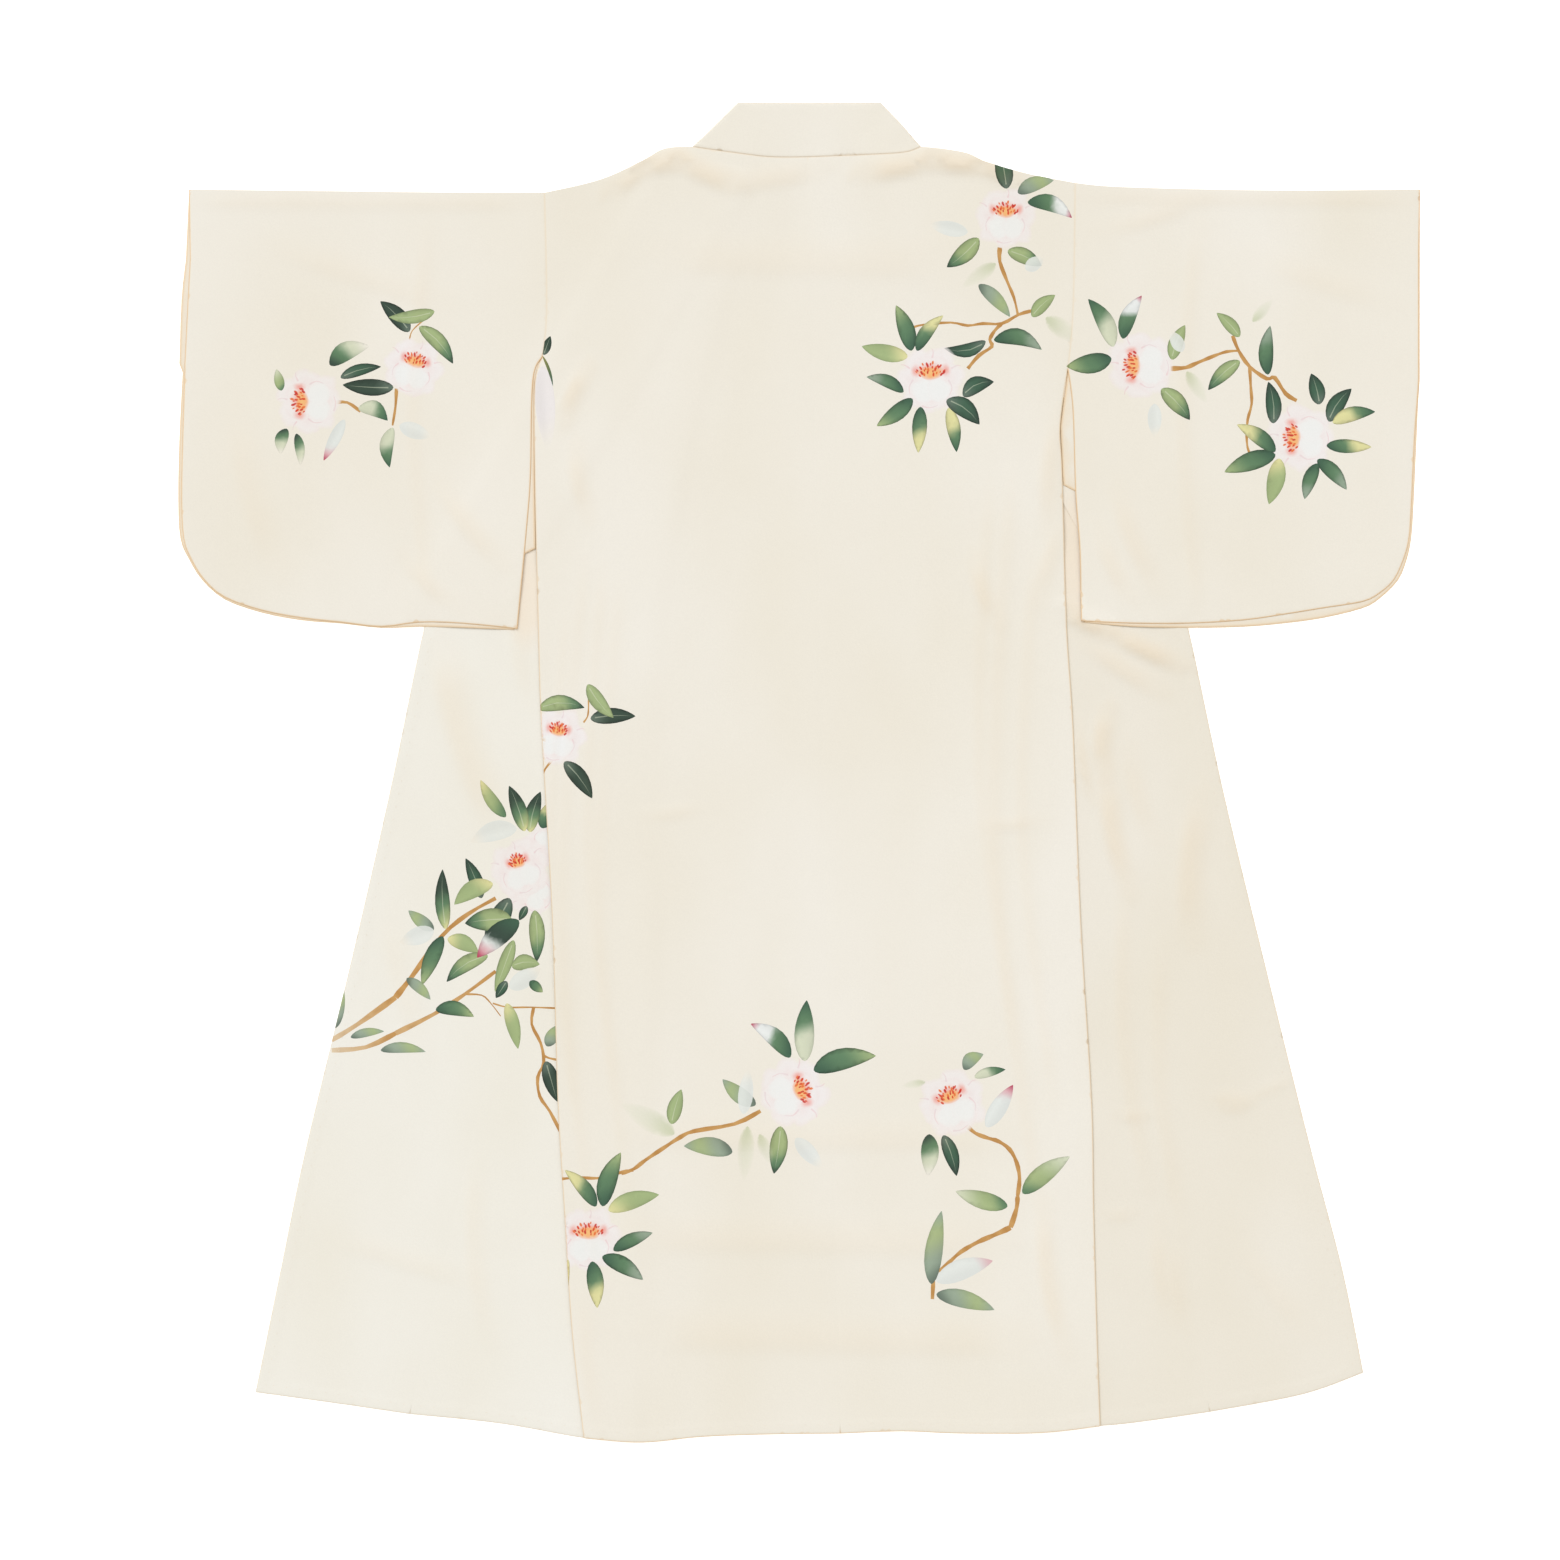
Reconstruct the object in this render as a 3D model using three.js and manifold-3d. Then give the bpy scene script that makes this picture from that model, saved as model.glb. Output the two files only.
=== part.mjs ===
// A girl's summer kimono, laid flat on its front and seen from the back.
// Both fronts are turned out to the sides under the back, so they show beyond it.
// Millimetres. +Z is up from the surface it lies on, +Y runs from the hem to the collar.
// The origin is on that surface, under the middle of the garment.

import * as THREE from 'three';
import { mergeVertices } from 'three/addons/utils/BufferGeometryUtils.js';
import Module from 'manifold-3d';

const wasm = await Module();
wasm.setup();

const CLOTH = 1.0; // one layer of cloth
const COLLAR_CLOTH = 1.8; // the collar is cloth folded in two and pressed
const GAP = 0.3; // between two sewn pieces, and between two layers
const FOLD = 5; // how far in from its edge a fold or a closed seam holds two layers together
const CELL = { x: 20, y: 44 }; // spacing of the points that every layer is draped through
const FULL_LIFT = 1.45; // cells past the edge of a lower layer where the cloth above still rides level
const FLOOR_AGAIN = 3.2; // cells past that edge where it is down again
const SKY = 60; // higher than any layer
const MARGIN = 2; // cells that a draped layer runs past its outline before it is cut

// Outlines as the robe lies, as lines shared by the pieces on both sides of them.
// Each row holds one point of the left half and the matching point of the right half.
const COLUMNS = 'leftX leftY rightX rightY';

const neckSeam = table(COLUMNS, [
  [-98, 575, 112, 575],
  [-70, 571, 98, 570],
  [-28, 566, 68, 568],
  [8, 566, 8, 566],
]);

const shoulder = table(COLUMNS, [
  [-98, 575, 112, 575],
  [-124, 573, 151, 570],
  [-144, 562, 172, 561],
  [-183, 545, 208, 551],
  [-234, 533, 254, 542],
]);

const armhole = table(COLUMNS, [
  [-234, 533, 254, 542],
  [-232, 426, 252, 426],
  [-237, 370, 247, 370],
]);

const sideSeam = table(COLUMNS, [
  [-237, 370, 247, 370],
  [-240, 300, 242, 300],
  [-241, 150, 246, 150],
  [-237, 42, 252, 42],
  [-227, -135, 259, -135],
  [-222, -300, 269, -300],
  [-216, -402, 271, -402],
  [-209, -513, 274, -513],
  [-198, -612, 277, -601],
]);

const backHem = table(COLUMNS, [
  [-198, -612, 277, -601],
  [-144, -616, 224, -607],
  [-89, -611, 150, -608],
  [-34, -609, 95, -606],
  [38, -608, 38, -608],
]);

// The line along which each front is turned back under itself and out to the side.
const frontCrease = table(COLUMNS, [
  [-61, 547, 76, 548],
  [-146, 159, 153, 251],
  [-155, -209, 185, -117],
  [-168, -611, 215, -604],
]);

const innerFrontHem = table(COLUMNS, [
  [-168, -611, 215, -604],
  [-198, -612, 277, -601],
]);

const frontHem = table(COLUMNS, [
  [-168, -611, 215, -604],
  [-198, -612, 277, -601],
  [-273, -599, 316, -597],
  [-358, -590, 378, -588],
]);

const okumiHem = table(COLUMNS, [
  [-358, -590, 378, -588],
  [-420, -581, 463, -572],
  [-500, -570, 519, -552],
]);

const okumiSeam = table(COLUMNS, [
  [-358, -590, 378, -588],
  [-130, 425, 136, 440],
]);

const outerEdge = table(COLUMNS, [
  [-500, -570, 519, -552],
  [-477, -458, 500, -458],
  [-454, -347, 471, -347],
  [-414, -182, 430, -182],
  [-376, -16, 390, -16],
  [-345, 133, 358, 133],
  [-333, 160, 347, 159],
]);

const collarEnd = table(COLUMNS, [
  [-333, 160, 347, 159],
  [-292, 137, 305, 136],
]);

const collarOnOkumi = table(COLUMNS, [
  [-292, 137, 305, 136],
  [-130, 425, 136, 440],
]);

const collarOnFront = table(COLUMNS, [
  [-130, 425, 136, 440],
  [-61, 547, 76, 548],
]);

const collarTurn = table(COLUMNS, [
  [-56, 616, 75, 616],
  [-83, 589, 95, 595],
  [-98, 575, 112, 575],
]);

const collarOuterEdge = table(COLUMNS, [
  [-98, 575, 112, 575],
  [-106, 565, 120, 567],
  [-333, 160, 347, 159],
]);

const sleeveTopFold = table(COLUMNS, [
  [-234, 533, 254, 542],
  [-300, 533, 300, 538],
  [-400, 534, 440, 535],
  [-561, 536, 571, 536],
]);

// The under wall of each sleeve, from its open body side round the bottom to the wrist opening.
// The upper wall lies back from it, by the inset.
const SLEEVE_COLUMNS = 'leftX leftY leftInset rightX rightY rightInset';

const sleeveBottom = table(SLEEVE_COLUMNS, [
  [-259, 131, 1, 259, 138, 1],
  [-310, 133, 4, 307, 134, 3],
  [-349, 134, 4, 357, 133, 4],
  [-384, 133, 1, 408, 134, 6],
  [-420, 137, 1, 444, 137, 8],
  [-457, 140, 2, 481, 142, 9],
  [-494, 147, 2, 518, 151, 6],
  [-528, 159, 2, 534, 160, 5],
  [-549, 177, 2, 551, 177, 4],
  [-561, 196, 2, 559, 196, 3],
  [-569, 215, 3, 563, 215, 2],
  [-571, 251, 3, 565, 241, 2],
  [-570, 306, 3, 568, 306, 2],
  [-567, 368, 2, 569.5, 340, 1],
]);

const wristOpening = table(SLEEVE_COLUMNS, [
  [-570, 376, 5, 571, 361, 1],
  [-568, 435, 6, 571, 435, 1],
  [-564, 472, 4, 571, 480, 1],
]);

const sleeveOpenSide = table(COLUMNS, [
  [-237, 370, 247, 370],
  [-243, 358, 251, 334],
  [-247, 300, 255, 278],
  [-248, 231, 257, 200],
  [-259, 131, 259, 138],
]);

// Long soft folds: from where to where, how high, and how far to each side.
const FOLD_COLUMNS = 'fromX fromY toX toY height reach';

const frontFolds = table(FOLD_COLUMNS, [
  [262, 200, 310, 104, 3.5, 42],
  [310, 104, 372, 76, 3.0, 46],
  [270, 40, 296, -90, 2.5, 40],
  [366, -60, 372, -230, 2.2, 42],
  [290, -312, 450, -306, 1.5, 60],
  [-330, 110, -282, -60, 1.8, 44],
]);

const topFolds = table(FOLD_COLUMNS, [
  [-172, 190, -160, -280, 1.8, 40],
  [-196, -140, -186, -440, 1.5, 40],
  [166, 268, 204, -130, 2.0, 40],
  [216, -60, 226, -420, 1.8, 40],
  [-214, 352, -200, 240, 2.5, 40],
  [236, 330, 226, 220, 2.2, 40],
  [-344, 520, -342, 150, 1.5, 40],
  [364, 520, 366, 150, 1.5, 40],
  [-332, 256, -282, 194, 2.0, 44],
  [-150, 530, -96, 500, 2.0, 44],
  [110, 520, 180, 548, 2.2, 44],
]);

function table(columns, rows) {
  const names = columns.split(' ');
  return rows.map((row) => Object.fromEntries(names.map((name, i) => [name, row[i]])));
}

// The points of one half of a line, as [x, y], each moved in from its edge where the row has an inset.
function half(line, side, insetUsed = 0) {
  const toMiddle = side === 'left' ? 1 : -1;
  return line.map((row) => {
    const inset = (row[side + 'Inset'] ?? 0) * insetUsed;
    const low = row[side + 'Y'] < SLEEVE_CORNER_Y;
    return [row[side + 'X'] + (low ? 0 : inset * toMiddle), row[side + 'Y'] + (low ? inset : 0)];
  });
}

// Below this height a sleeve's edge faces down, and above it outwards.
const SLEEVE_CORNER_Y = 170;

// A closed outline from lines laid end to end, without the points that they share.
function join(...lines) {
  const points = [];
  for (const line of lines) {
    for (const point of line) {
      const last = points[points.length - 1];
      if (!last || Math.hypot(point[0] - last[0], point[1] - last[1]) > 1e-6) points.push(point);
    }
  }
  const [first, last] = [points[0], points[points.length - 1]];
  if (Math.hypot(first[0] - last[0], first[1] - last[1]) < 1e-6) points.pop();
  const area = points.reduce((sum, p, i) => {
    const q = points[(i + 1) % points.length];
    return sum + p[0] * q[1] - q[0] * p[1];
  }, 0);
  return area < 0 ? points.reverse() : points;
}

const back = (line) => [...line].reverse();

// An outline moved in all round, so that two sewn pieces keep a gap between them.
function inset(outline, distance) {
  return outline.map((point, i) => {
    const before = outline[(i + outline.length - 1) % outline.length];
    const after = outline[(i + 1) % outline.length];
    const a = inwardNormal(before, point);
    const b = inwardNormal(point, after);
    const reach = distance / (1 + a[0] * b[0] + a[1] * b[1]);
    return [point[0] + (a[0] + b[0]) * reach, point[1] + (a[1] + b[1]) * reach];
  });
}

function inwardNormal(from, to) {
  const length = Math.hypot(to[0] - from[0], to[1] - from[1]);
  return [(from[1] - to[1]) / length, (to[0] - from[0]) / length];
}

// The band along an open line that reaches the given width to both of its sides.
function band(line, width) {
  const sides = [[], []];
  line.forEach((point, i) => {
    const before = line[Math.max(i - 1, 0)];
    const after = line[Math.min(i + 1, line.length - 1)];
    const normal = inwardNormal(before, after);
    sides[0].push([point[0] + normal[0] * width, point[1] + normal[1] * width]);
    sides[1].push([point[0] - normal[0] * width, point[1] - normal[1] * width]);
  });
  return join(sides[0], back(sides[1]));
}

function distanceToSegment(x, y, a, b) {
  const [dx, dy] = [b[0] - a[0], b[1] - a[1]];
  const along = THREE.MathUtils.clamp(((x - a[0]) * dx + (y - a[1]) * dy) / (dx * dx + dy * dy), 0, 1);
  return Math.hypot(x - a[0] - along * dx, y - a[1] - along * dy);
}

// How many cells a point lies outside an outline, and 0 inside it.
function cellsOutside(x, y, outline) {
  const toCells = (p) => [p[0] / CELL.x, p[1] / CELL.y];
  const [cx, cy] = toCells([x, y]);
  let inside = false;
  let nearest = Infinity;
  outline.forEach((point, i) => {
    const a = toCells(point);
    const b = toCells(outline[(i + 1) % outline.length]);
    if (a[1] > cy !== b[1] > cy && cx < ((b[0] - a[0]) * (cy - a[1])) / (b[1] - a[1]) + a[0]) inside = !inside;
    nearest = Math.min(nearest, distanceToSegment(cx, cy, a, b));
  });
  return inside ? 0 : nearest;
}

// The height that a table of soft folds adds at a point.
function foldLift(x, y, folds) {
  return folds.reduce((lift, fold) => {
    const away = distanceToSegment(x, y, [fold.fromX, fold.fromY], [fold.toX, fold.toY]) / fold.reach;
    return away < 1 ? Math.max(lift, fold.height * (1 - away * away) ** 2) : lift;
  }, 0);
}

// One layer of cloth over everything below it. It rides on each lower layer as far as that one's
// outline and a little more, and comes down to the surface beyond.
function drape({ over = [], outlines, thickness = CLOTH, folds = [] }) {
  const heights = new Map();
  const bottom = (x, y) => {
    const key = `${x} ${y}`;
    if (!heights.has(key)) {
      const support = over.reduce((height, layer) => {
        const away = Math.min(...layer.outlines.map((outline) => cellsOutside(x, y, outline)));
        const share = 1 - THREE.MathUtils.smoothstep(away, FULL_LIFT, FLOOR_AGAIN);
        return Math.max(height, share * (layer.bottom(x, y) + layer.thickness + GAP));
      }, 0);
      heights.set(key, support + foldLift(x, y, folds));
    }
    return heights.get(key);
  };
  return { outlines, thickness, bottom };
}

function toSolid(geometry) {
  geometry.deleteAttribute('normal');
  geometry.deleteAttribute('uv');
  const merged = mergeVertices(geometry);
  return new wasm.Manifold(new wasm.Mesh({
    numProp: 3,
    vertProperties: new Float32Array(merged.attributes.position.array),
    triVerts: new Uint32Array(merged.index.array),
  }));
}

function prism(outline) {
  const shape = new THREE.Shape(outline.map(([x, y]) => new THREE.Vector2(x, y)));
  const geometry = new THREE.ExtrudeGeometry(shape, { depth: 2 * SKY, steps: 1, bevelEnabled: false });
  return toSolid(geometry.translate(0, 0, -SKY));
}

// A closed slab between two height functions, on the shared grid, as wide as an outline and a margin.
function slab(outline, bottomAt, topAt) {
  const xs = outline.map((p) => p[0]);
  const ys = outline.map((p) => p[1]);
  const range = (values, cell) => [
    Math.floor(Math.min(...values) / cell) - MARGIN,
    Math.ceil(Math.max(...values) / cell) + MARGIN,
  ];
  const [x0, x1] = range(xs, CELL.x);
  const [y0, y1] = range(ys, CELL.y);
  const columns = x1 - x0 + 1;
  const rows = y1 - y0 + 1;
  const positions = [];
  for (const heightAt of [bottomAt, topAt]) {
    for (let j = y0; j <= y1; j++) {
      for (let i = x0; i <= x1; i++) {
        positions.push(i * CELL.x, j * CELL.y, heightAt(i * CELL.x, j * CELL.y));
      }
    }
  }
  const at = (i, j, level) => level * columns * rows + j * columns + i;
  const index = [];
  const quad = (a, b, c, d) => index.push(a, b, c, a, c, d);
  for (let j = 0; j < rows - 1; j++) {
    for (let i = 0; i < columns - 1; i++) {
      quad(at(i, j, 1), at(i + 1, j, 1), at(i + 1, j + 1, 1), at(i, j + 1, 1));
      index.push(at(i, j, 0), at(i + 1, j + 1, 0), at(i + 1, j, 0));
      index.push(at(i, j, 0), at(i, j + 1, 0), at(i + 1, j + 1, 0));
    }
  }
  for (let i = 0; i < columns - 1; i++) {
    quad(at(i, 0, 0), at(i + 1, 0, 0), at(i + 1, 0, 1), at(i, 0, 1));
    quad(at(i + 1, rows - 1, 0), at(i, rows - 1, 0), at(i, rows - 1, 1), at(i + 1, rows - 1, 1));
  }
  for (let j = 0; j < rows - 1; j++) {
    quad(at(0, j + 1, 0), at(0, j, 0), at(0, j, 1), at(0, j + 1, 1));
    quad(at(columns - 1, j, 0), at(columns - 1, j + 1, 0), at(columns - 1, j + 1, 1), at(columns - 1, j, 1));
  }
  const geometry = new THREE.BufferGeometry();
  geometry.setAttribute('position', new THREE.Float32BufferAttribute(positions, 3));
  geometry.setIndex(index);
  return toSolid(geometry);
}

// A panel of cloth cut to its outline from one draped layer.
function panel(outline, layer) {
  const topAt = (x, y) => layer.bottom(x, y) + layer.thickness;
  return slab(outline, layer.bottom, topAt).intersect(prism(inset(outline, GAP / 2)));
}

// The closed edge where a panel turns over into the layer above, along a fold or a seam.
function turnedEdge(line, outline, lower, upper) {
  const topAt = (x, y) => upper.bottom(x, y) + upper.thickness;
  const edge = slab(outline, lower.bottom, topAt).intersect(prism(inset(outline, GAP / 2)));
  return edge.intersect(prism(band(line, FOLD)));
}

const unite = (solids) => solids.reduce((all, solid) => all.add(solid));

const cottonMaterial = () => new THREE.MeshStandardMaterial({ color: 0xefe9dc, roughness: 0.85, metalness: 0 });

function addNode(name, solid) {
  const { vertProperties, triVerts } = solid.getMesh();
  const geometry = new THREE.BufferGeometry();
  geometry.setAttribute('position', new THREE.BufferAttribute(new Float32Array(vertProperties), 3));
  geometry.setIndex(new THREE.BufferAttribute(new Uint32Array(triVerts), 1));
  geometry.computeVertexNormals();
  const mesh = new THREE.Mesh(geometry, cottonMaterial());
  mesh.name = name;
  robe.add(mesh);
}

// Outlines of every panel of one half.
function outlinesOf(side) {
  const of = (line, insetUsed) => half(line, side, insetUsed);
  const sleeve = (insetUsed) => join(
    of(armhole), of(sleeveOpenSide), of(sleeveBottom, insetUsed), of(wristOpening, insetUsed),
    back(of(sleeveTopFold)),
  );
  return {
    back: join(of(neckSeam), back(of(backHem)), back(of(sideSeam)), back(of(armhole)), back(of(shoulder))),
    innerFront: join(
      of(shoulder), of(armhole), of(sideSeam), back(of(innerFrontHem)), back(of(frontCrease)),
    ),
    outerFront: join(of(frontCrease), of(frontHem), of(okumiSeam), of(collarOnFront)),
    okumi: join(of(okumiSeam), back(of(collarOnOkumi)), back(of(collarEnd)), back(of(outerEdge)), back(of(okumiHem))),
    collar: join(
      of(collarTurn), of(collarOuterEdge), of(collarEnd), of(collarOnOkumi), of(collarOnFront),
    ),
    sleeveUnder: sleeve(0),
    sleeveOver: sleeve(1),
  };
}

const robe = new THREE.Group();
const sides = ['left', 'right'];
const outlines = Object.fromEntries(sides.map((side) => [side, outlinesOf(side)]));
const both = (...names) => sides.flatMap((side) => names.map((name) => outlines[side][name]));

// The four layers, from the surface up.
const frontLayer = drape({ outlines: both('outerFront', 'okumi'), folds: frontFolds });
const collarLayer = drape({ outlines: both('collar'), thickness: COLLAR_CLOTH, folds: frontFolds });
const middleLayer = drape({
  over: [frontLayer, collarLayer],
  outlines: both('innerFront', 'sleeveUnder'),
});
const topLayer = drape({
  over: [frontLayer, collarLayer, middleLayer],
  outlines: both('back', 'sleeveOver'),
  folds: topFolds,
});
const neckLayer = { ...topLayer, thickness: COLLAR_CLOTH };

// Each body panel is one length of cloth: the back, over the shoulder, down the front as far as the
// crease, and out again beside it.
for (const side of sides) {
  const outline = outlines[side];
  const of = (line) => half(line, side);
  addNode(`body_${side}`, unite([
    panel(outline.back, topLayer),
    turnedEdge(of(shoulder), outline.innerFront, middleLayer, topLayer),
    turnedEdge(of(sideSeam), outline.innerFront, middleLayer, topLayer),
    panel(outline.innerFront, middleLayer),
    turnedEdge(of(frontCrease), outline.outerFront, frontLayer, middleLayer),
    panel(outline.outerFront, frontLayer),
  ]));
}

for (const side of sides) {
  addNode(`okumi_${side}`, panel(outlines[side].okumi, frontLayer));
}

// The collar's band at the back of the neck turns at each side into the strip that runs down the front.
const neckBand = join(
  half(collarTurn, 'left'), half(neckSeam, 'left'), back(half(neckSeam, 'right')), back(half(collarTurn, 'right')),
);
addNode('collar', unite([
  panel(neckBand, neckLayer),
  ...sides.flatMap((side) => [
    turnedEdge(half(collarTurn, side), neckBand, collarLayer, neckLayer),
    panel(outlines[side].collar, collarLayer),
  ]),
]));

// Each sleeve is a flat tube: folded at the top, sewn below, open at the wrist and at the body side.
for (const side of sides) {
  const { sleeveUnder, sleeveOver } = outlines[side];
  addNode(`sleeve_${side}`, unite([
    panel(sleeveUnder, middleLayer),
    panel(sleeveOver, topLayer),
    turnedEdge(half(sleeveTopFold, side), sleeveOver, middleLayer, topLayer),
    turnedEdge(half(sleeveBottom, side, 1), sleeveOver, middleLayer, topLayer),
  ]));
}

export default robe;
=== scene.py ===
# A girl's yukata laid flat, seen from the back, with camellia sprays printed on cream cotton.
# It is in metres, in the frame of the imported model. The tables hold millimetres.

import math

import bpy
import numpy as np
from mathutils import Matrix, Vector
from mathutils.geometry import delaunay_2d_cdt


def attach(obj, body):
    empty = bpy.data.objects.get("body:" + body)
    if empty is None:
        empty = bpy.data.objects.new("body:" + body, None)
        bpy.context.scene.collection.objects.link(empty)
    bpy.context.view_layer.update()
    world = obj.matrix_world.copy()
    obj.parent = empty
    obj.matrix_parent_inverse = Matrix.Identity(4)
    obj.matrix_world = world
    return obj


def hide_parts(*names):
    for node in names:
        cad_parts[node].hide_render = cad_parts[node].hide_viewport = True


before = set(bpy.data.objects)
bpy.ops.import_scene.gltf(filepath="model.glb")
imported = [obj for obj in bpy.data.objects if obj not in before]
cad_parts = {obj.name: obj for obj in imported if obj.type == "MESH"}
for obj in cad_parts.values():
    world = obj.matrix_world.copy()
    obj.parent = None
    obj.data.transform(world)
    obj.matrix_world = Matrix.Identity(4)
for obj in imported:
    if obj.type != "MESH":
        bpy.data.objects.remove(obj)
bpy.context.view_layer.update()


# The surface, the camera and the light.
# The robe lies on a plain white surface and is seen from straight above. The light is soft and even,
# and a little stronger from the upper left, so that the cloth's shallow creases show.
MM = 0.001
VIEW_WIDTH = 1435.2 * MM
VIEW_CENTRE = (-17.5 * MM, -6.9 * MM)
LENS, SENSOR, CLIP_END = 85.0, 36.0, 50.0
SKY_COLOUR, SKY_STRENGTH = (1.0, 0.95, 0.88, 1), 0.596
FLOOR_HALF = 4.0
FLOOR_DROP = 0.2 * MM
FLOOR_GLOW = 0.4


def add_object(name, data):
    thing = bpy.data.objects.new(name, data)
    bpy.context.collection.objects.link(thing)
    return thing


def set_inputs(node, inputs):
    """Sets a node's inputs by name, to a value or to another node's output."""
    for name, value in inputs.items():
        if isinstance(value, bpy.types.NodeSocket):
            node.id_data.links.new(value, node.inputs[name])
        else:
            node.inputs[name].default_value = value


def new_material(name, inputs):
    material = bpy.data.materials.new(name)
    material.use_nodes = True
    set_inputs(material.node_tree.nodes["Principled BSDF"], inputs)
    return material


camera_data = bpy.data.cameras.new("camera")
camera_data.lens = LENS
camera_data.sensor_width = SENSOR
camera_data.clip_end = CLIP_END
camera = add_object("camera", camera_data)
camera.location = (*VIEW_CENTRE, VIEW_WIDTH * LENS / SENSOR)
bpy.context.scene.camera = camera

bpy.context.scene.view_settings.view_transform = "Standard"
world = bpy.data.worlds.new("studio")
world.use_nodes = True
set_inputs(world.node_tree.nodes["Background"], {"Color": SKY_COLOUR, "Strength": SKY_STRENGTH})
bpy.context.scene.world = world

SOFT_LIGHTS = [
    # name, the side it shines from, strength, softness in degrees, colour
    ("key light", (-0.45, 0.62, 0.85), 1.60, 40, (0.90, 0.98, 1.10)),
    ("fill light", (0.60, -0.20, 0.90), 0.60, 60, (1.0, 1.0, 1.0)),
]
for name, side_from, strength, softness, colour in SOFT_LIGHTS:
    light = bpy.data.lights.new(name, "SUN")
    light.energy = strength
    light.color = colour
    light.angle = math.radians(softness)
    add_object(name, light).rotation_euler = Vector(side_from).to_track_quat("Z", "Y").to_euler()

corners = [(x * FLOOR_HALF, y * FLOOR_HALF, -FLOOR_DROP) for x, y in ((-1, -1), (1, -1), (1, 1), (-1, 1))]
floor_mesh = bpy.data.meshes.new("floor")
floor_mesh.from_pydata(corners, [], [(0, 1, 2, 3)])
floor_mesh.materials.append(new_material("white floor", {
    "Base Color": (0.97, 0.97, 0.97, 1), "Roughness": 1.0, "Specular IOR Level": 0.0,
    "Emission Color": (1.0, 1.0, 1.0, 1), "Emission Strength": FLOOR_GLOW}))
floor = add_object("floor", floor_mesh)


# The front overlaps.
# Each is a tapering strip of printed cotton, sewn along the front edge of its body panel, with a
# narrow hem along its outer edge and below. They lie on the surface, turned out to the sides.
SIDES = ("left", "right")
CLOTH = 1.0
GAP = 0.15

LINES = {
    # Points of the left half, then of the right half, shared by the panels on both sides.
    "okumi hem": [(-358, -590, 378, -588), (-420, -581, 463, -572), (-500, -570, 519, -552)],
    "okumi seam": [(-358, -590, 378, -588), (-130, 425, 136, 440)],
    "outer edge": [
        (-500, -570, 519, -552), (-477, -458, 500, -458), (-454, -347, 471, -347), (-414, -182, 430, -182),
        (-376, -16, 390, -16), (-345, 133, 358, 133), (-333, 160, 347, 159)],
    "collar end": [(-333, 160, 347, 159), (-292, 137, 305, 136)],
    "collar on okumi": [(-292, 137, 305, 136), (-130, 425, 136, 440)],
    "collar on front": [(-130, 425, 136, 440), (-61, 547, 76, 548)],
    "front crease": [
        (-61, 547, 76, 548), (-146, 159, 153, 251), (-155, -209, 185, -117), (-168, -611, 215, -604)],
    "front hem": [
        (-168, -611, 215, -604), (-198, -612, 277, -601), (-273, -599, 316, -597), (-358, -590, 378, -588)],
}
STRAIGHT = {"collar turn", "collar outer edge", "sleeve inner side"}
LINE_STEPS, EDGE_STEPS, FOLD_STEPS, BRUSH_STEPS = 6, 3, 5, 3
SAME_PLACE = 0.05


def smooth_path(points, steps):
    """A smooth line through a few points."""
    out = []
    for i in range(len(points) - 1):
        p0, p1 = points[max(i - 1, 0)], points[i]
        p2, p3 = points[i + 1], points[min(i + 2, len(points) - 1)]
        for j in range(steps):
            t = j / steps
            out.append(tuple(
                0.5 * (2 * b + (c - a) * t + (2 * a - 5 * b + 4 * c - d) * t * t
                       + (3 * b - a - 3 * c + d) * t ** 3)
                for a, b, c, d in zip(p0, p1, p2, p3)))
    return out + [tuple(points[-1])]


def half_line(name, side):
    first = 0 if side == "left" else 2
    points = [(row[first], row[first + 1]) for row in LINES[name]]
    return points if name in STRAIGHT or len(points) < 3 else smooth_path(points, LINE_STEPS)


def oriented(points):
    area = sum(a[0] * b[1] - a[1] * b[0] for a, b in zip(points, points[1:] + points[:1]))
    return points if area > 0 else points[::-1]


def outline_of(side, *parts):
    """A closed outline, counter-clockwise, from lines or their names. A minus runs a line backwards."""
    points = []
    for part in parts:
        line = half_line(part.lstrip("-"), side) if isinstance(part, str) else part
        line = line[::-1] if isinstance(part, str) and part.startswith("-") else line
        points += [p for p in line if not points or math.dist(p, points[-1]) > SAME_PLACE]
    if math.dist(points[0], points[-1]) < SAME_PLACE:
        points.pop()
    return oriented(points)


def inset(outline, distance):
    places = np.array(outline)
    along = np.roll(places, -1, axis=0) - places
    after = np.stack((-along[:, 1], along[:, 0]), axis=1) / np.hypot(along[:, 0], along[:, 1])[:, None]
    before = np.roll(after, 1, axis=0)
    reach = distance / np.maximum(1 + np.sum(before * after, axis=1), 0.2)
    return (places + (before + after) * reach[:, None]).tolist()


def segments(line, closed=True):
    return list(zip(line, line[1:] + line[:1])) if closed else list(zip(line, line[1:]))


def resampled(outline, step):
    out = []
    for a, b in segments(outline):
        count = max(1, math.ceil(math.dist(a, b) / step))
        out += [(a[0] + (b[0] - a[0]) * i / count, a[1] + (b[1] - a[1]) * i / count) for i in range(count)]
    return out


def line_pieces(names, side):
    """The straight pieces of some named lines."""
    return [piece for name in names for piece in segments(half_line(name, side), closed=False)]


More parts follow.
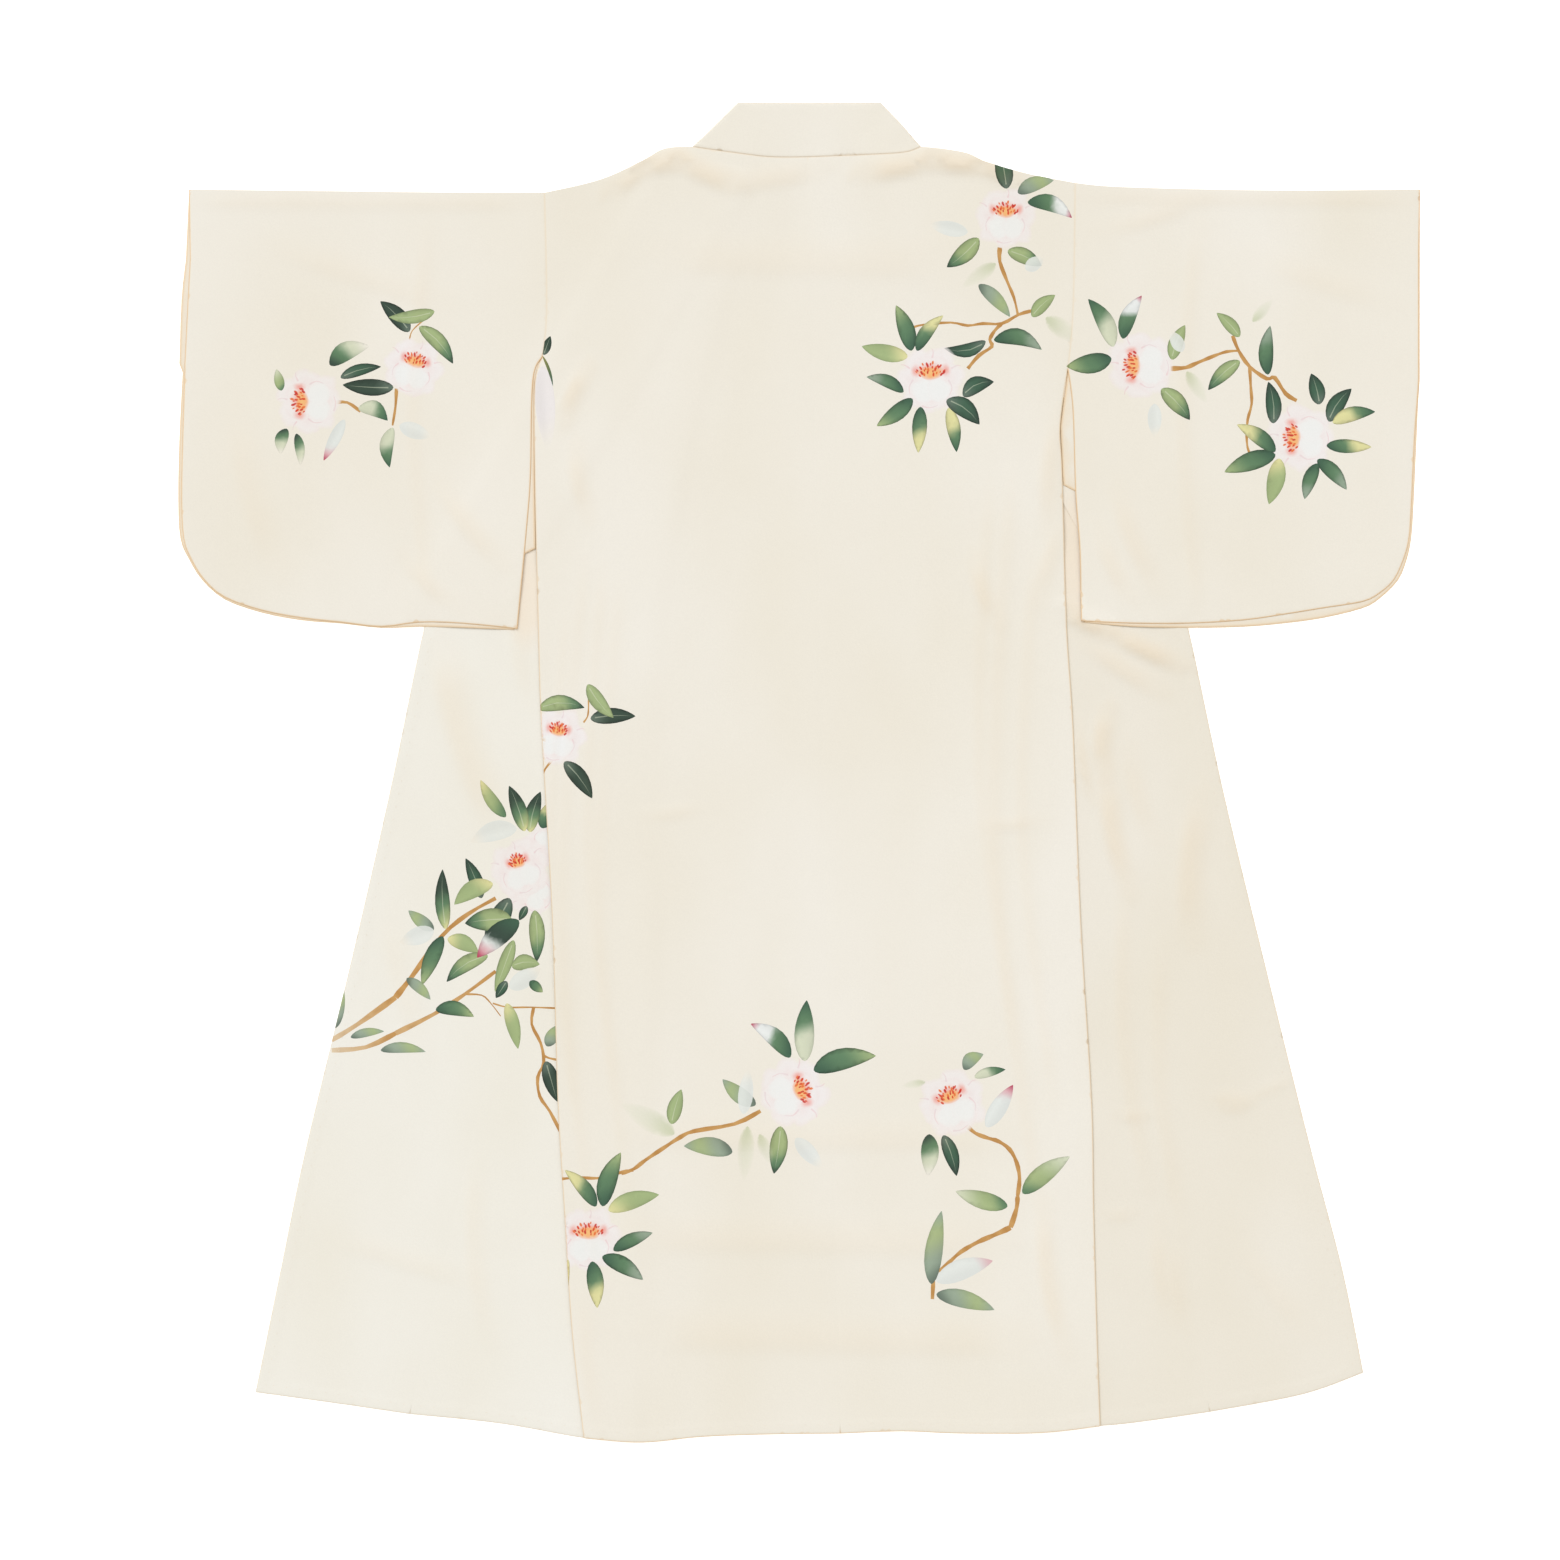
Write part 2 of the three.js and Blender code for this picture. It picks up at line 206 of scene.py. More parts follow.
def distance_to(points, pieces):
    """How far each point is from the nearest of some straight pieces."""
    nearest = np.full(len(points), 1e6)
    for (ax, ay), (bx, by) in pieces:
        dx, dy = bx - ax, by - ay
        px, py = points[:, 0] - ax, points[:, 1] - ay
        t = np.clip((px * dx + py * dy) / max(dx * dx + dy * dy, 1e-9), 0, 1)
        nearest = np.minimum(nearest, np.hypot(px - t * dx, py - t * dy))
    return nearest


def inside_of(points, outline):
    inside = np.zeros(len(points), bool)
    for (ax, ay), (bx, by) in segments(outline):
        if ay != by:
            inside ^= ((ay > points[:, 1]) != (by > points[:, 1])) & (
                points[:, 0] - ax < (bx - ax) * (points[:, 1] - ay) / (by - ay))
    return inside


def smooth_step(x):
    x = np.clip(x, 0, 1)
    return x * x * (3 - 2 * x)


RIPPLE = 0.13


def ripple(points):
    """The slow, shallow unevenness of cloth that was laid out by hand."""
    x, y = points[:, 0], points[:, 1]
    waves = (
        np.sin(x / 23 + 1.3 * np.sin(y / 71)) + 0.8 * np.sin(x / 41 - y / 67 + 2.1)
        + 0.7 * np.sin(y / 37 + 1.1 * np.sin(x / 53)) + 0.5 * np.sin(x / 15 + y / 90))
    return RIPPLE * (waves + 3.0)


FOLD_END, FOLD_BOW = 45.0, 0.04
GENTLE, STEEP = 1.4, 0.7


def fold_lift(points, folds):
    """Soft ridges. Each runs from one end to the other with its steep side on the right hand."""
    lift = np.zeros(len(points))
    for x0, y0, x1, y1, height, reach in folds:
        middle = (0.5 * (x0 + x1) + FOLD_BOW * (y1 - y0), 0.5 * (y0 + y1))
        line = smooth_path([(x0, y0), middle, (x1, y1)], FOLD_STEPS)
        away, side = np.full(len(points), 1e6), np.zeros(len(points))
        for (ax, ay), (bx, by) in segments(line, closed=False):
            here = distance_to(points, [((ax, ay), (bx, by))])
            cross = (bx - ax) * (points[:, 1] - ay) - (by - ay) * (points[:, 0] - ax)
            side = np.where(here < away, cross, side)
            away = np.minimum(away, here)
        ends = distance_to(points, [((x0, y0), (x0, y0)), ((x1, y1), (x1, y1))])
        fade = smooth_step(ends / min(FOLD_END, 0.4 * math.dist((x0, y0), (x1, y1))))
        width = reach * np.where(side > 0, GENTLE, STEEP)
        lift += height * smooth_step(1 - away / width) * (0.25 + 0.75 * fade)
    return lift


LEVEL_REACH = 10.0


def drape(layer, points):
    """The height of a layer's underside, over the layers that it lies on."""
    support = ripple(points)
    for lower in layer["over"]:
        away = np.full(len(points), 1e6)
        for outline in lower["outlines"]:
            outside = np.where(inside_of(points, outline), 0, distance_to(points, segments(outline)))
            away = np.minimum(away, outside)
        share = 1 - smooth_step((away - LEVEL_REACH) / (layer["down reach"] - LEVEL_REACH))
        support = np.maximum(support, share * (drape(lower, points) + lower["thickness"] + GAP))
    return support + fold_lift(points, layer["folds"])


# The dyes, and an ochre for painted warm shade. A spray's motifs are brushed one over the other, each an
# outline with a rule for its ink.
CREAM = (241, 236, 225)
# The fronts' grounds differ as painted light: the left front paler, the right front darker and yellower, as
# under light from the left.
FRONT_CREAM = {"left": (242, 239, 230), "right": (238, 232, 219)}
# This ochre is painted warm shade. It is mixed into the cloth along free edges, sewn seams and folds, and
# into each panel's underside and edge walls.
EDGE_SHADE_OCHRE = (236, 180, 110)
LIGHT_GAIN = 1.06
INKS = {
    "dark": (70, 102, 82), "deep": (60, 78, 68), "green": (98, 132, 100), "light": (166, 184, 133),
    "yellow": (226, 222, 164), "pale": (214, 219, 194), "white": (236, 239, 238), "red": (184, 66, 92),
    "grey": (150, 168, 148), "cream": CREAM, "blue": (228, 232, 229), "pink": (224, 180, 186),
    "olive": (140, 140, 84), "petal": (236, 231, 230), "shade": (104, 120, 108), "night": (62, 80, 68)
}
LEAF_TONES = {
    # how dark the rim is, strength, inks from the stalk to the tip
    "dark": (0.42, 1, (0, "shade"), (0.5, "dark"), (1, "deep")),
    "night": (0.42, 1, (0, "shade"), (0.4, "night"), (1, "night")),
    "green_yellow": (0.18, 1, (0, "green"), (0.5, "light"), (1, "yellow")),
    "light_pale": (0.16, 1, (0, "green"), (0.35, "light"), (1, "pale")),
    "pale_foot": (0.3, 1, (0, "yellow"), (0.18, "light"), (0.42, "green"), (0.7, "night"), (1, "night")),
    "red_tip": (0.16, 1, (0, "dark"), (0.5, "deep"), (0.66, "white"), (0.8, "pink"), (1, "red")),
    "pale_bud": (0.02, 0.95, (0, "blue"), (0.7, "blue"), (1, "pink")),
    "dark_light": (0.34, 1, (0, "dark"), (0.45, "green"), (1, "light")),
    "light_dark": (0.34, 1, (0, "light"), (0.5, "light"), (0.8, "green"), (1, "deep")),
    "dark_yellow": (0.28, 1, (0, "dark"), (0.4, "green"), (0.66, "yellow"), (1, "yellow")),
    "yellow_dark": (0.3, 1, (0, "yellow"), (0.4, "yellow"), (0.68, "green"), (1, "dark")),
    "dark_grey": (0.36, 1, (0, "dark"), (0.5, "green"), (0.8, "grey"), (1, "grey")),
    "dark_pale": (0.1, 1, (0, "deep"), (0.3, "green"), (0.62, "pale"), (1, "cream")),
    "pale_dark": (0.16, 1, (0, "pale"), (0.4, "pale"), (0.68, "green"), (1, "dark")),
    "yellow_light": (0.14, 1, (0, "yellow"), (0.5, "light"), (1, "light")),
    "light": (0.26, 1, (0, "light"), (1, "light")),
    "soft": (0.12, 0.95, (0, "shade"), (0.3, "grey"), (0.7, "light"), (1, "grey")),
    "white_tip": (0.16, 1, (0, "dark"), (0.45, "green"), (0.62, "white"), (0.86, "white"), (1, "red")),
    "white": (0, 1, (0, "petal"), (0.5, "petal"), (1, "cream")),
    "olive": (0.1, 1, (0, "olive"), (1, "dark")),
    "bud": (0.03, 1, (0, "blue"), (0.66, "blue"), (0.84, "pink"), (1, "red")),
    "ghost": (0, 0.42, (0, "light"), (0.6, "pale"), (1, "pale")),
    "mist": (0, 0.91, (0, "blue"), (0.6, "blue"), (1, "cream")),
}
RIBBED = {"dark", "night", "pale_foot", "light_dark", "light"}


def mix_inks(a, b, share):
    return tuple(p + (q - p) * share for p, q in zip(a, b))


def axes_at(centre, angle):
    """Ways from a motif's own axes, along its angle and aside, to the cloth and back."""
    ca, sa = math.cos(math.radians(angle)), math.sin(math.radians(angle))

    def place(u, v):
        return (centre[0] + ca * u - sa * v, centre[1] + sa * u + ca * v)

    def find(x, y):
        dx, dy = x - centre[0], y - centre[1]
        return dx * ca + dy * sa, -dx * sa + dy * ca

    return place, find


def ink_along(stations, t):
    for (t0, a), (t1, b) in zip(stations, stations[1:]):
        if t <= t1:
            s = min(max((t - t0) / (t1 - t0), 0), 1)
            return mix_inks(INKS[a], INKS[b], s * s * (3 - 2 * s))
    return INKS[stations[-1][1]]


LEAF_STEPS = 11
LEAF_SLANT = 0.14
LEAF_BASE, LEAF_TIP = 0.62, 0.86
LEAF_WIDEST = LEAF_BASE / (LEAF_BASE + LEAF_TIP)
LEAF_FULLEST = LEAF_WIDEST ** LEAF_BASE * (1 - LEAF_WIDEST) ** LEAF_TIP


def leaf_motifs(base, angle, length, width, tone, bend):
    """A leaf with a rounded base, a pointed tip, a darker rim and, on some, a pale rib."""
    rim_dark, strength, *stations = LEAF_TONES[tone]
    on_cloth, on_leaf = axes_at(base, angle)

    def place(t, across):
        return on_cloth(t * length, across + bend * length * 4 * t * (1 - t))

    def find(x, y):
        along, across = on_leaf(x, y)
        t = min(max(along / length, 0), 1)
        return t, across - bend * length * 4 * t * (1 - t)

    def half_width(t):
        return 0.5 * width * t ** LEAF_BASE * (1 - t) ** LEAF_TIP / LEAF_FULLEST

    def paint(x, y):
        t, across = find(x, y)
        rim = min(abs(across) / max(half_width(t), 1e-3), 1)
        aside = min(max(across / half_width(0.5), -1), 1)
        shade = 1 - rim_dark * rim ** 6 + 0.05 * (1 - rim * rim) * aside
        fade = strength if strength > 0.9 else strength * (1 - rim ** 3) * (1 - t ** 4)
        ink = ink_along(stations, min(max(t + LEAF_SLANT * aside * (1 - t), 0), 1))
        return tuple(c * shade for c in ink), fade

    def rib_paint(x, y):
        return mix_inks(ink_along(stations, find(x, y)[0]), INKS["pale"], 0.65), 0.8

    steps = [0.5 - 0.5 * math.cos(math.pi * i / LEAF_STEPS) for i in range(1, LEAF_STEPS)]
    outline = (
        [place(0, 0)] + [place(t, -half_width(t)) for t in steps] + [place(1, 0)]
        + [place(t, half_width(t)) for t in steps[::-1]])
    guides = [place(t, half_width(t) * s) for t in steps for s in (-0.84, -0.45, 0, 0.45, 0.84)]
    motifs = [(oriented(outline), guides, paint)]
    if tone in RIBBED:
        rib = 0.030 * width + 0.2
        there = [place(t, rib * (1 - t)) for t in (0.10, 0.4, 0.7)]
        back = [place(t, -rib * (1 - t)) for t in (0.90, 0.7, 0.4, 0.10)]
        motifs.append((oriented(there + back), [], rib_paint))
    return motifs


def lobe_motif(centre, along, across, angle, ramp, wave=0.05, rings=(0.35, 0.68, 0.88), points=20):
    """A rounded petal or blot. Its ramp gives an ink and a strength from the middle to the rim."""
    on_cloth, on_lobe = axes_at(centre, angle)

    def rim(a):
        return 1 + wave * math.sin(3 * a + centre[0]) + 0.6 * wave * math.sin(5 * a + centre[1])

    def place(a, r):
        return on_cloth(along * math.cos(a) * r * rim(a), across * math.sin(a) * r * rim(a))

    def paint(x, y):
        u, v = on_lobe(x, y)
        r = min(math.hypot(u / along, v / across) / rim(math.atan2(v / across, u / along)), 1)
        for (r0, c0, k0), (r1, c1, k1) in zip(ramp, ramp[1:]):
            if r <= r1:
                s = (r - r0) / (r1 - r0)
                return mix_inks(c0, c1, s), k0 + (k1 - k0) * s
        return ramp[-1][1:]

    turns = [2 * math.pi * i / points for i in range(points)]
    guides = [centre] + [place(a, r) for r in rings for a in turns[::2]]
    return oriented([place(a, 1) for a in turns]), guides, paint


def stroke_motif(points, start_width, end_width, inks, start_strength, end_strength):
    """A brushed line, for a twig or a petal's crease."""
    line = smooth_path(points, BRUSH_STEPS)
    sides = ([], [])
    for i, (x, y) in enumerate(line):
        (x0, y0), (x1, y1) = line[max(i - 1, 0)], line[min(i + 1, len(line) - 1)]
        length = math.hypot(x1 - x0, y1 - y0)
        knot = 1 + 0.18 * math.sin(1.7 * i)
        half = 0.5 * knot * (start_width + (end_width - start_width) * i / (len(line) - 1))
        nx, ny = -(y1 - y0) / length * half, (x1 - x0) / length * half
        sides[0].append((x + nx, y + ny))
        sides[1].append((x - nx, y - ny))

    def paint(x, y):
        share = min(math.dist((x, y), line[0]) / math.dist(line[0], line[-1]), 1)
        strength = start_strength + (end_strength - start_strength) * share
        return mix_inks(*inks, 0.5 + 0.5 * math.sin(0.35 * (x + y))), strength

    return oriented(sides[0] + sides[1][::-1]), [], paint


PETAL, PETAL_FOOT, PETAL_RIM = (243, 238, 237), (242, 232, 231), (242, 233, 232)
SOFT_PETAL = [
    (0, PETAL_FOOT, 1), (0.5, PETAL, 1), (0.72, PETAL, 0.95), (0.9, PETAL_RIM, 0.7), (1, PETAL_RIM, 0)]
FRONT_PETAL = [
    (0, (241, 242, 241), 1), (0.80, (242, 242, 241), 1), (0.92, (242, 241, 240), 0.8), (1, PETAL_RIM, 0)]
BLUSH = [(0, (240, 148, 138), 0.85), (0.45, (241, 176, 168), 0.6), (1, PETAL_RIM, 0)]
GLOW = [(0, (248, 196, 128), 1), (0.62, (247, 182, 122), 0.95), (1, (244, 172, 146), 0.15)]
ANTHER_INKS = [(218, 72, 46), (200, 54, 46), (232, 112, 58)]
PETALS = [
    # forward and aside from the middle, half length, half width, angle, all by the flower's radius
    (-0.46, -0.30, 0.46, 0.42, 215), (-0.50, 0.26, 0.48, 0.44, 150), (-0.04, -0.56, 0.42, 0.46, 270),
    (-0.07, 0.56, 0.44, 0.44, 85), (0.39, -0.42, 0.44, 0.42, 310), (0.41, 0.40, 0.46, 0.42, 40),
    (0.56, 0.00, 0.40, 0.50, 0), (-0.19, 0.00, 0.56, 0.56, 0),
]
ANTHERS = [
    # how far behind the middle a row stands, its half width, how far its ends come forward, how many
    (0.46, 0.28, 0.09, 7), (0.37, 0.35, 0.10, 8), (0.27, 0.36, 0.07, 8), (0.18, 0.30, 0.04, 6),
]
ANTHER_TILT, ANTHER_LONG, ANTHER_WIDE = 38.0, 0.056, 0.030
PETAL_CREASES = [
    # a line of forward and aside places
    [(-0.02, -0.50), (0.18, -0.62), (0.42, -0.60)], [(0.02, 0.50), (0.24, 0.60), (0.46, 0.52)],
    [(0.74, -0.28), (0.80, -0.06), (0.74, 0.18)], [(-0.62, 0.06), (-0.78, 0.10), (-0.90, 0.06)],
    [(-0.30, 0.60), (-0.38, 0.76), (-0.36, 0.88)], [(-0.34, -0.58), (-0.44, -0.72), (-0.46, -0.84)],
]
CREASE_INKS = ((230, 212, 216), (236, 200, 203))
CREASE_WIDTHS, CREASE_STRENGTH = (0.050, 0.012), 0.5


def flower_motifs(centre, radius, turn, spread):
    """A camellia whose front petal points along turn, with its stamens fanned behind it."""
    on_cloth, _ = axes_at(centre, turn)

    def at(forward, aside):
        return on_cloth(radius * forward, radius * aside)

    motifs = [
        lobe_motif(at(f, s), a * radius, b * radius, turn + angle, SOFT_PETAL, wave=0.08)
        for f, s, a, b, angle in PETALS]
    if spread:
        for aside in (-0.40, 0.42):
            motifs.append(lobe_motif(at(-0.26, aside * spread), 0.24 * radius, 0.18 * radius, turn, BLUSH))
        motifs.append(lobe_motif(at(-0.28, 0), 0.30 * radius, 0.44 * radius * spread, turn, BLUSH))
        motifs.append(lobe_motif(at(-0.20, 0), 0.20 * radius, 0.37 * radius * spread, turn, GLOW, wave=0.06))
    for row, (behind, half, ends, count) in enumerate(ANTHERS if spread else []):
        for i in range(count):
            u = 2 * i / (count - 1) - 1
            stray = 0.035 * math.sin(2.4 * i + 1.7 * row + centre[0])
            spot = at(ends * u * u - behind + stray, (half * u + 0.6 * stray) * spread)
            size = radius * (1.0 + 0.25 * math.sin(3.1 * i + row + centre[1]))
            ink = ANTHER_INKS[(i * 2 + row) % 3]
            motifs.append(lobe_motif(
                spot, ANTHER_LONG * size, ANTHER_WIDE * size, turn + 180 - ANTHER_TILT * u,
                [(0, ink, 1), (1, ink, 0.7)], wave=0, rings=(), points=6))
    for aside in (-0.22, 0.22):
        motifs.append(lobe_motif(at(0.31, aside), 0.35 * radius, 0.35 * radius, turn, FRONT_PETAL))
    widths = [radius * width for width in CREASE_WIDTHS]
    for line in PETAL_CREASES:
        line = [at(*p) for p in line]
        motifs.append(stroke_motif(line, *widths, CREASE_INKS, CREASE_STRENGTH, CREASE_STRENGTH))
    return motifs


UNIT = 0.92  # millimetres in one step of the spray tables
TWIG_INKS = ((206, 160, 100), (188, 138, 78))
# A spray is its middle in millimetres and, in steps from there, its twigs (start width, end width, start
# strength, points), leaves (x, y, angle, length, width, tone, bend) and flowers (x, y, radius, turn, spread).
GREAT_SPRAY = ((-255, -88), [
    (4.2, 5.8, 0.5, [(-190, -172), (-164, -156), (-126, -129)]),
    (5.8, 3.4, 1, [(-126, -129), (-111, -110), (-80, -68), (-54, -46), (-26, -30)]),
    (4.4, 5.0, 0.4, [(-190, -182), (-156, -179), (-126, -165)]),
    (5.0, 3.2, 0.8, [(-126, -165), (-88, -146), (-57, -126), (-26, -103)]),
    (2.0, 0.8, 1, [(-56, -126), (-40, -127), (-31, -135), (-21, -148)]),
    (1.5, 1.7, 1, [(-29, -135), (-14, -139), (9, -139), (36, -140)]),
    (3.0, 3.2, 1, [(12, -139), (10, -156), (19, -175), (22, -194), (16, -209), (18, -228), (28, -243),
        (40, -266)]), (2.4, 2.0, 1, [(21, -187), (28, -190), (38, -192)])
], [
    (-16, 51, 124, 45, 13, "green_yellow", 0.05), (20, 40, 68, 30, 16, "dark_yellow", 0),
    (8, 36, 75, 42, 15, "pale_foot", 0.05), (3, 37, 109, 48, 16, "pale_foot", -0.03),
    (-5, 40, 197, 48, 20, "mist", -0.08), (-40, -30, 112, 43, 14, "dark", -0.03),
    (-29, -15, 209, 44, 18, "yellow_light", -0.1), (-76, -61, 93, 60, 15, "pale_foot", 0.03),
    (-88, -62, 142, 32, 13, "soft", 0.02), (-88, -62, 200, 36, 18, "mist", 0),
    (-74, -70, -25, 34, 16, "yellow_light", 0.08), (-12, -30, 240, 50, 20, "dark", 0.02),
    (-34, -87, 213, 49, 16, "light_dark", -0.1), (-10, -51, 185, 47, 23, "light_dark", -0.03),
    (-3, -52, 222, 56, 22, "red_tip", -0.05), (13, -42, 272, 52, 16, "light_dark", 0.03),
    (5, -38, 242, 16, 8, "dark", 0), (-8, -72, 250, 55, 14, "light", 0),
    (-15, -113, 237, 20, 10, "dark", 0), (-10, -98, 4, 28, 16, "light", 0.12),
    (-12, -120, 33, 37, 18, "mist", 0), (8, -113, 320, 17, 10, "dark_light", 0),
    (-79, -68, 247, 53, 16, "dark_light", -0.03), (-86, -141, -11, 39, 15, "dark_light", 0.12),
    (-115, -110, -42, 32, 11, "soft", 0.05), (-15, -135, -76, 47, 14, "yellow_light", 0.02),
    (25, -178, 62, 24, 13, "soft", 0), (24, -193, -74, 42, 16, "night", 0),
    (-141, -182, -2, 45, 11, "soft", 0.08), (-171, -169, 10, 34, 9, "soft", 0.06),
    (-187, -160, 79, 43, 14, "soft", 0.02)
], [(22, 22, 22, 60, 0), (10, -24, 26, 330, 0), (-2, 0, 31, 290, 0.7)])


def spray_motifs(sprays):
    """Every motif of some sprays, from the lowest brush stroke to the last."""
    motifs = []
    for (x0, y0), twigs, leaves, flowers in sprays:
        for start, end, faint, points in twigs:
            line = [(x0 + x * UNIT, y0 + y * UNIT) for x, y in points]
            motifs.append(stroke_motif(line, start * UNIT, end * UNIT, TWIG_INKS, faint, 1))
        for x, y, radius, turn, spread in flowers:
            motifs += flower_motifs((x0 + x * UNIT, y0 + y * UNIT), radius * UNIT, turn, spread)
        for x, y, angle, length, width, tone, bend in leaves:
            base = (x0 + x * UNIT, y0 + y * UNIT)
            motifs += leaf_motifs(base, angle, length * UNIT, width * UNIT, tone, bend)
    return motifs


def linear(colour):
    return [((c / 255 + 0.055) / 1.055) ** 2.4 / LIGHT_GAIN for c in colour] + [1.0]


MESH_STEP, EDGE_STEP = 6.0, 6.0
ROW_SHARE = 0.87  # the rows of a mesh of even triangles stand closer than its points
RING_ROOM, ROW_ROOM = 0.85, 0.45
ON_LINE, MERGE_REACH = 0.5, 1e-4
EDGE_RINGS = (0.5, 1.3, 2.6)
EDGE_ROUND, EDGE_DROP = 2.6, 0.75
SEAM_DIP, SEAM_REACH, PRESSED_SHARE = 0.22, 1.6, 0.3
# Painted shade along the sewn seams, as in a seam's hollow.
SEAM_SHADE, SEAM_SHADE_REACH = 0.14, 0.7
# Painted warm shade over the folds. It is stronger where a fold stands higher.
FOLD_SHADE, FOLD_SHADE_HEIGHT = 0.13, 4.0
HEM_WIDTH, HEM_SLOPE, HEM_RAISE = 11.0, 1.0, 0.22


def cut_panel(cloth, side, panel, layer, motifs=(), step=MESH_STEP, sewn=(), pressed=(), folded=(),
              hems=(), edge_shade=0.15, edge_shade_reach=0.75, ground=CREAM):
    """Adds one panel of cloth, top, underside and edge, to a piece's points, faces and colours."""
    edge = resampled(outlines[side][panel], EDGE_STEP)
    sides = segments(edge)
    middles = np.array([((a[0] + b[0]) / 2, (a[1] + b[1]) / 2) for a, b in sides])
    joined, faint = line_pieces(sewn, side), line_pieces(pressed, side)
    bound = distance_to(middles, joined + faint + line_pieces(folded, side)) < ON_LINE
    free = [s for s, held in zip(sides, bound) if not held]
    low, high = np.min(edge, axis=0), np.max(edge, axis=0)
    rings = EDGE_RINGS + ((HEM_WIDTH - HEM_SLOPE, HEM_WIDTH + HEM_SLOPE) if hems else ())
    loose = [p for ring in rings for p in inset(edge, ring)]
    near = [RING_ROOM * ring for ring in rings for _ in edge]
    row_step = ROW_SHARE * step
    for j in range(int((high[1] - low[1]) / row_step) + 1):
        start = low[0] + (step / 2 if j % 2 else 0)
        row = [(start + i * step, low[1] + j * row_step) for i in range(int((high[0] - start) / step) + 1)]
        loose += row
        near += [ROW_ROOM * step] * len(row)
    kept = [m for m in motifs if all(
        min(q[k] for q in m[0]) < high[k] and max(q[k] for q in m[0]) > low[k] for k in (0, 1))]

    def well_inside(places, room):
        places = np.array(places).reshape(-1, 2)
        return places[inside_of(places, edge) & (distance_to(places, sides) > room)].tolist()

    points = edge + well_inside(loose, np.array(near))
    faces = [list(range(len(edge)))]
    for shape, guides, _ in kept:
        faces.append(list(range(len(points), len(points) + len(shape))))
        points += shape + well_inside(guides, ON_LINE)
    points = [Vector(p) for p in points]
    plan, _, triangles, _, _, sources = delaunay_2d_cdt(points, [], faces, 1, MERGE_REACH, True)
    kept_faces = [(list(t), s) for t, s in zip(triangles, sources) if 0 in s]
    used = sorted({v for t, _ in kept_faces for v in t})
    renumber = {v: i for i, v in enumerate(used)}
    flat = np.array([plan[v] for v in used], dtype=float)
    from_free = distance_to(flat, free)
    rounding = 1 - np.sqrt(1 - np.clip(1 - from_free / EDGE_ROUND, 0, 1) ** 2)
    dip = SEAM_DIP * np.maximum(
        smooth_step(1 - distance_to(flat, joined) / SEAM_REACH),
        PRESSED_SHARE * smooth_step(1 - distance_to(flat, faint) / SEAM_REACH))
    from_hem = distance_to(flat, line_pieces(hems, side))
    hem = HEM_RAISE * smooth_step((HEM_WIDTH + HEM_SLOPE - from_hem) / (2 * HEM_SLOPE))
    under = drape(layer, flat)
    upper = under + layer["thickness"] * (1 - EDGE_DROP * rounding) - dip + hem
    first, count = len(cloth["points"]), len(used)
    for heights in (upper, under):
        cloth["points"] += [(x * MM, y * MM, z * MM) for (x, y), z in zip(flat, heights)]
    # Painted warm shade: ochre mixed in along free edges, along sewn seams and over the folds.
    painted_shade = edge_shade * np.exp(-((from_free / edge_shade_reach) ** 2))
    painted_shade = np.maximum(painted_shade, SEAM_SHADE * np.exp(-((distance_to(flat, joined) / SEAM_SHADE_REACH) ** 2)))
    painted_shade = np.maximum(painted_shade, FOLD_SHADE * np.clip(fold_lift(flat, layer["folds"]) / FOLD_SHADE_HEIGHT, 0, 1))
    # The underside and the edge walls get the painted edge shade too.
    shaded_rim_colour = linear(mix_inks(ground, EDGE_SHADE_OCHRE, edge_shade))
    border = set()
    for triangle, source in kept_faces:
        a, b, c = (renumber[v] for v in triangle)
        cloth["faces"].append((first + a, first + b, first + c))
        for v in (a, b, c):
            colour = ground
            for s in sorted(source)[1:]:
                colour = mix_inks(colour, *kept[s - 1][2](*flat[v]))
            cloth["colours"].append(linear(mix_inks(colour, EDGE_SHADE_OCHRE, painted_shade[v])))
        cloth["faces"].append((first + count + a, first + count + c, first + count + b))
        cloth["colours"] += [shaded_rim_colour] * 3
        border |= {(a, b), (b, c), (c, a)}
    for a, b in border:
        if (b, a) not in border:
            cloth["faces"].append((first + count + a, first + count + b, first + b, first + a))
            cloth["colours"] += [shaded_rim_colour] * 4


def add_node(tree, kind, inputs, **settings):
    node = tree.nodes.new(kind)
    for name, value in settings.items():
        setattr(node, name, value)
    set_inputs(node, inputs)
    return node


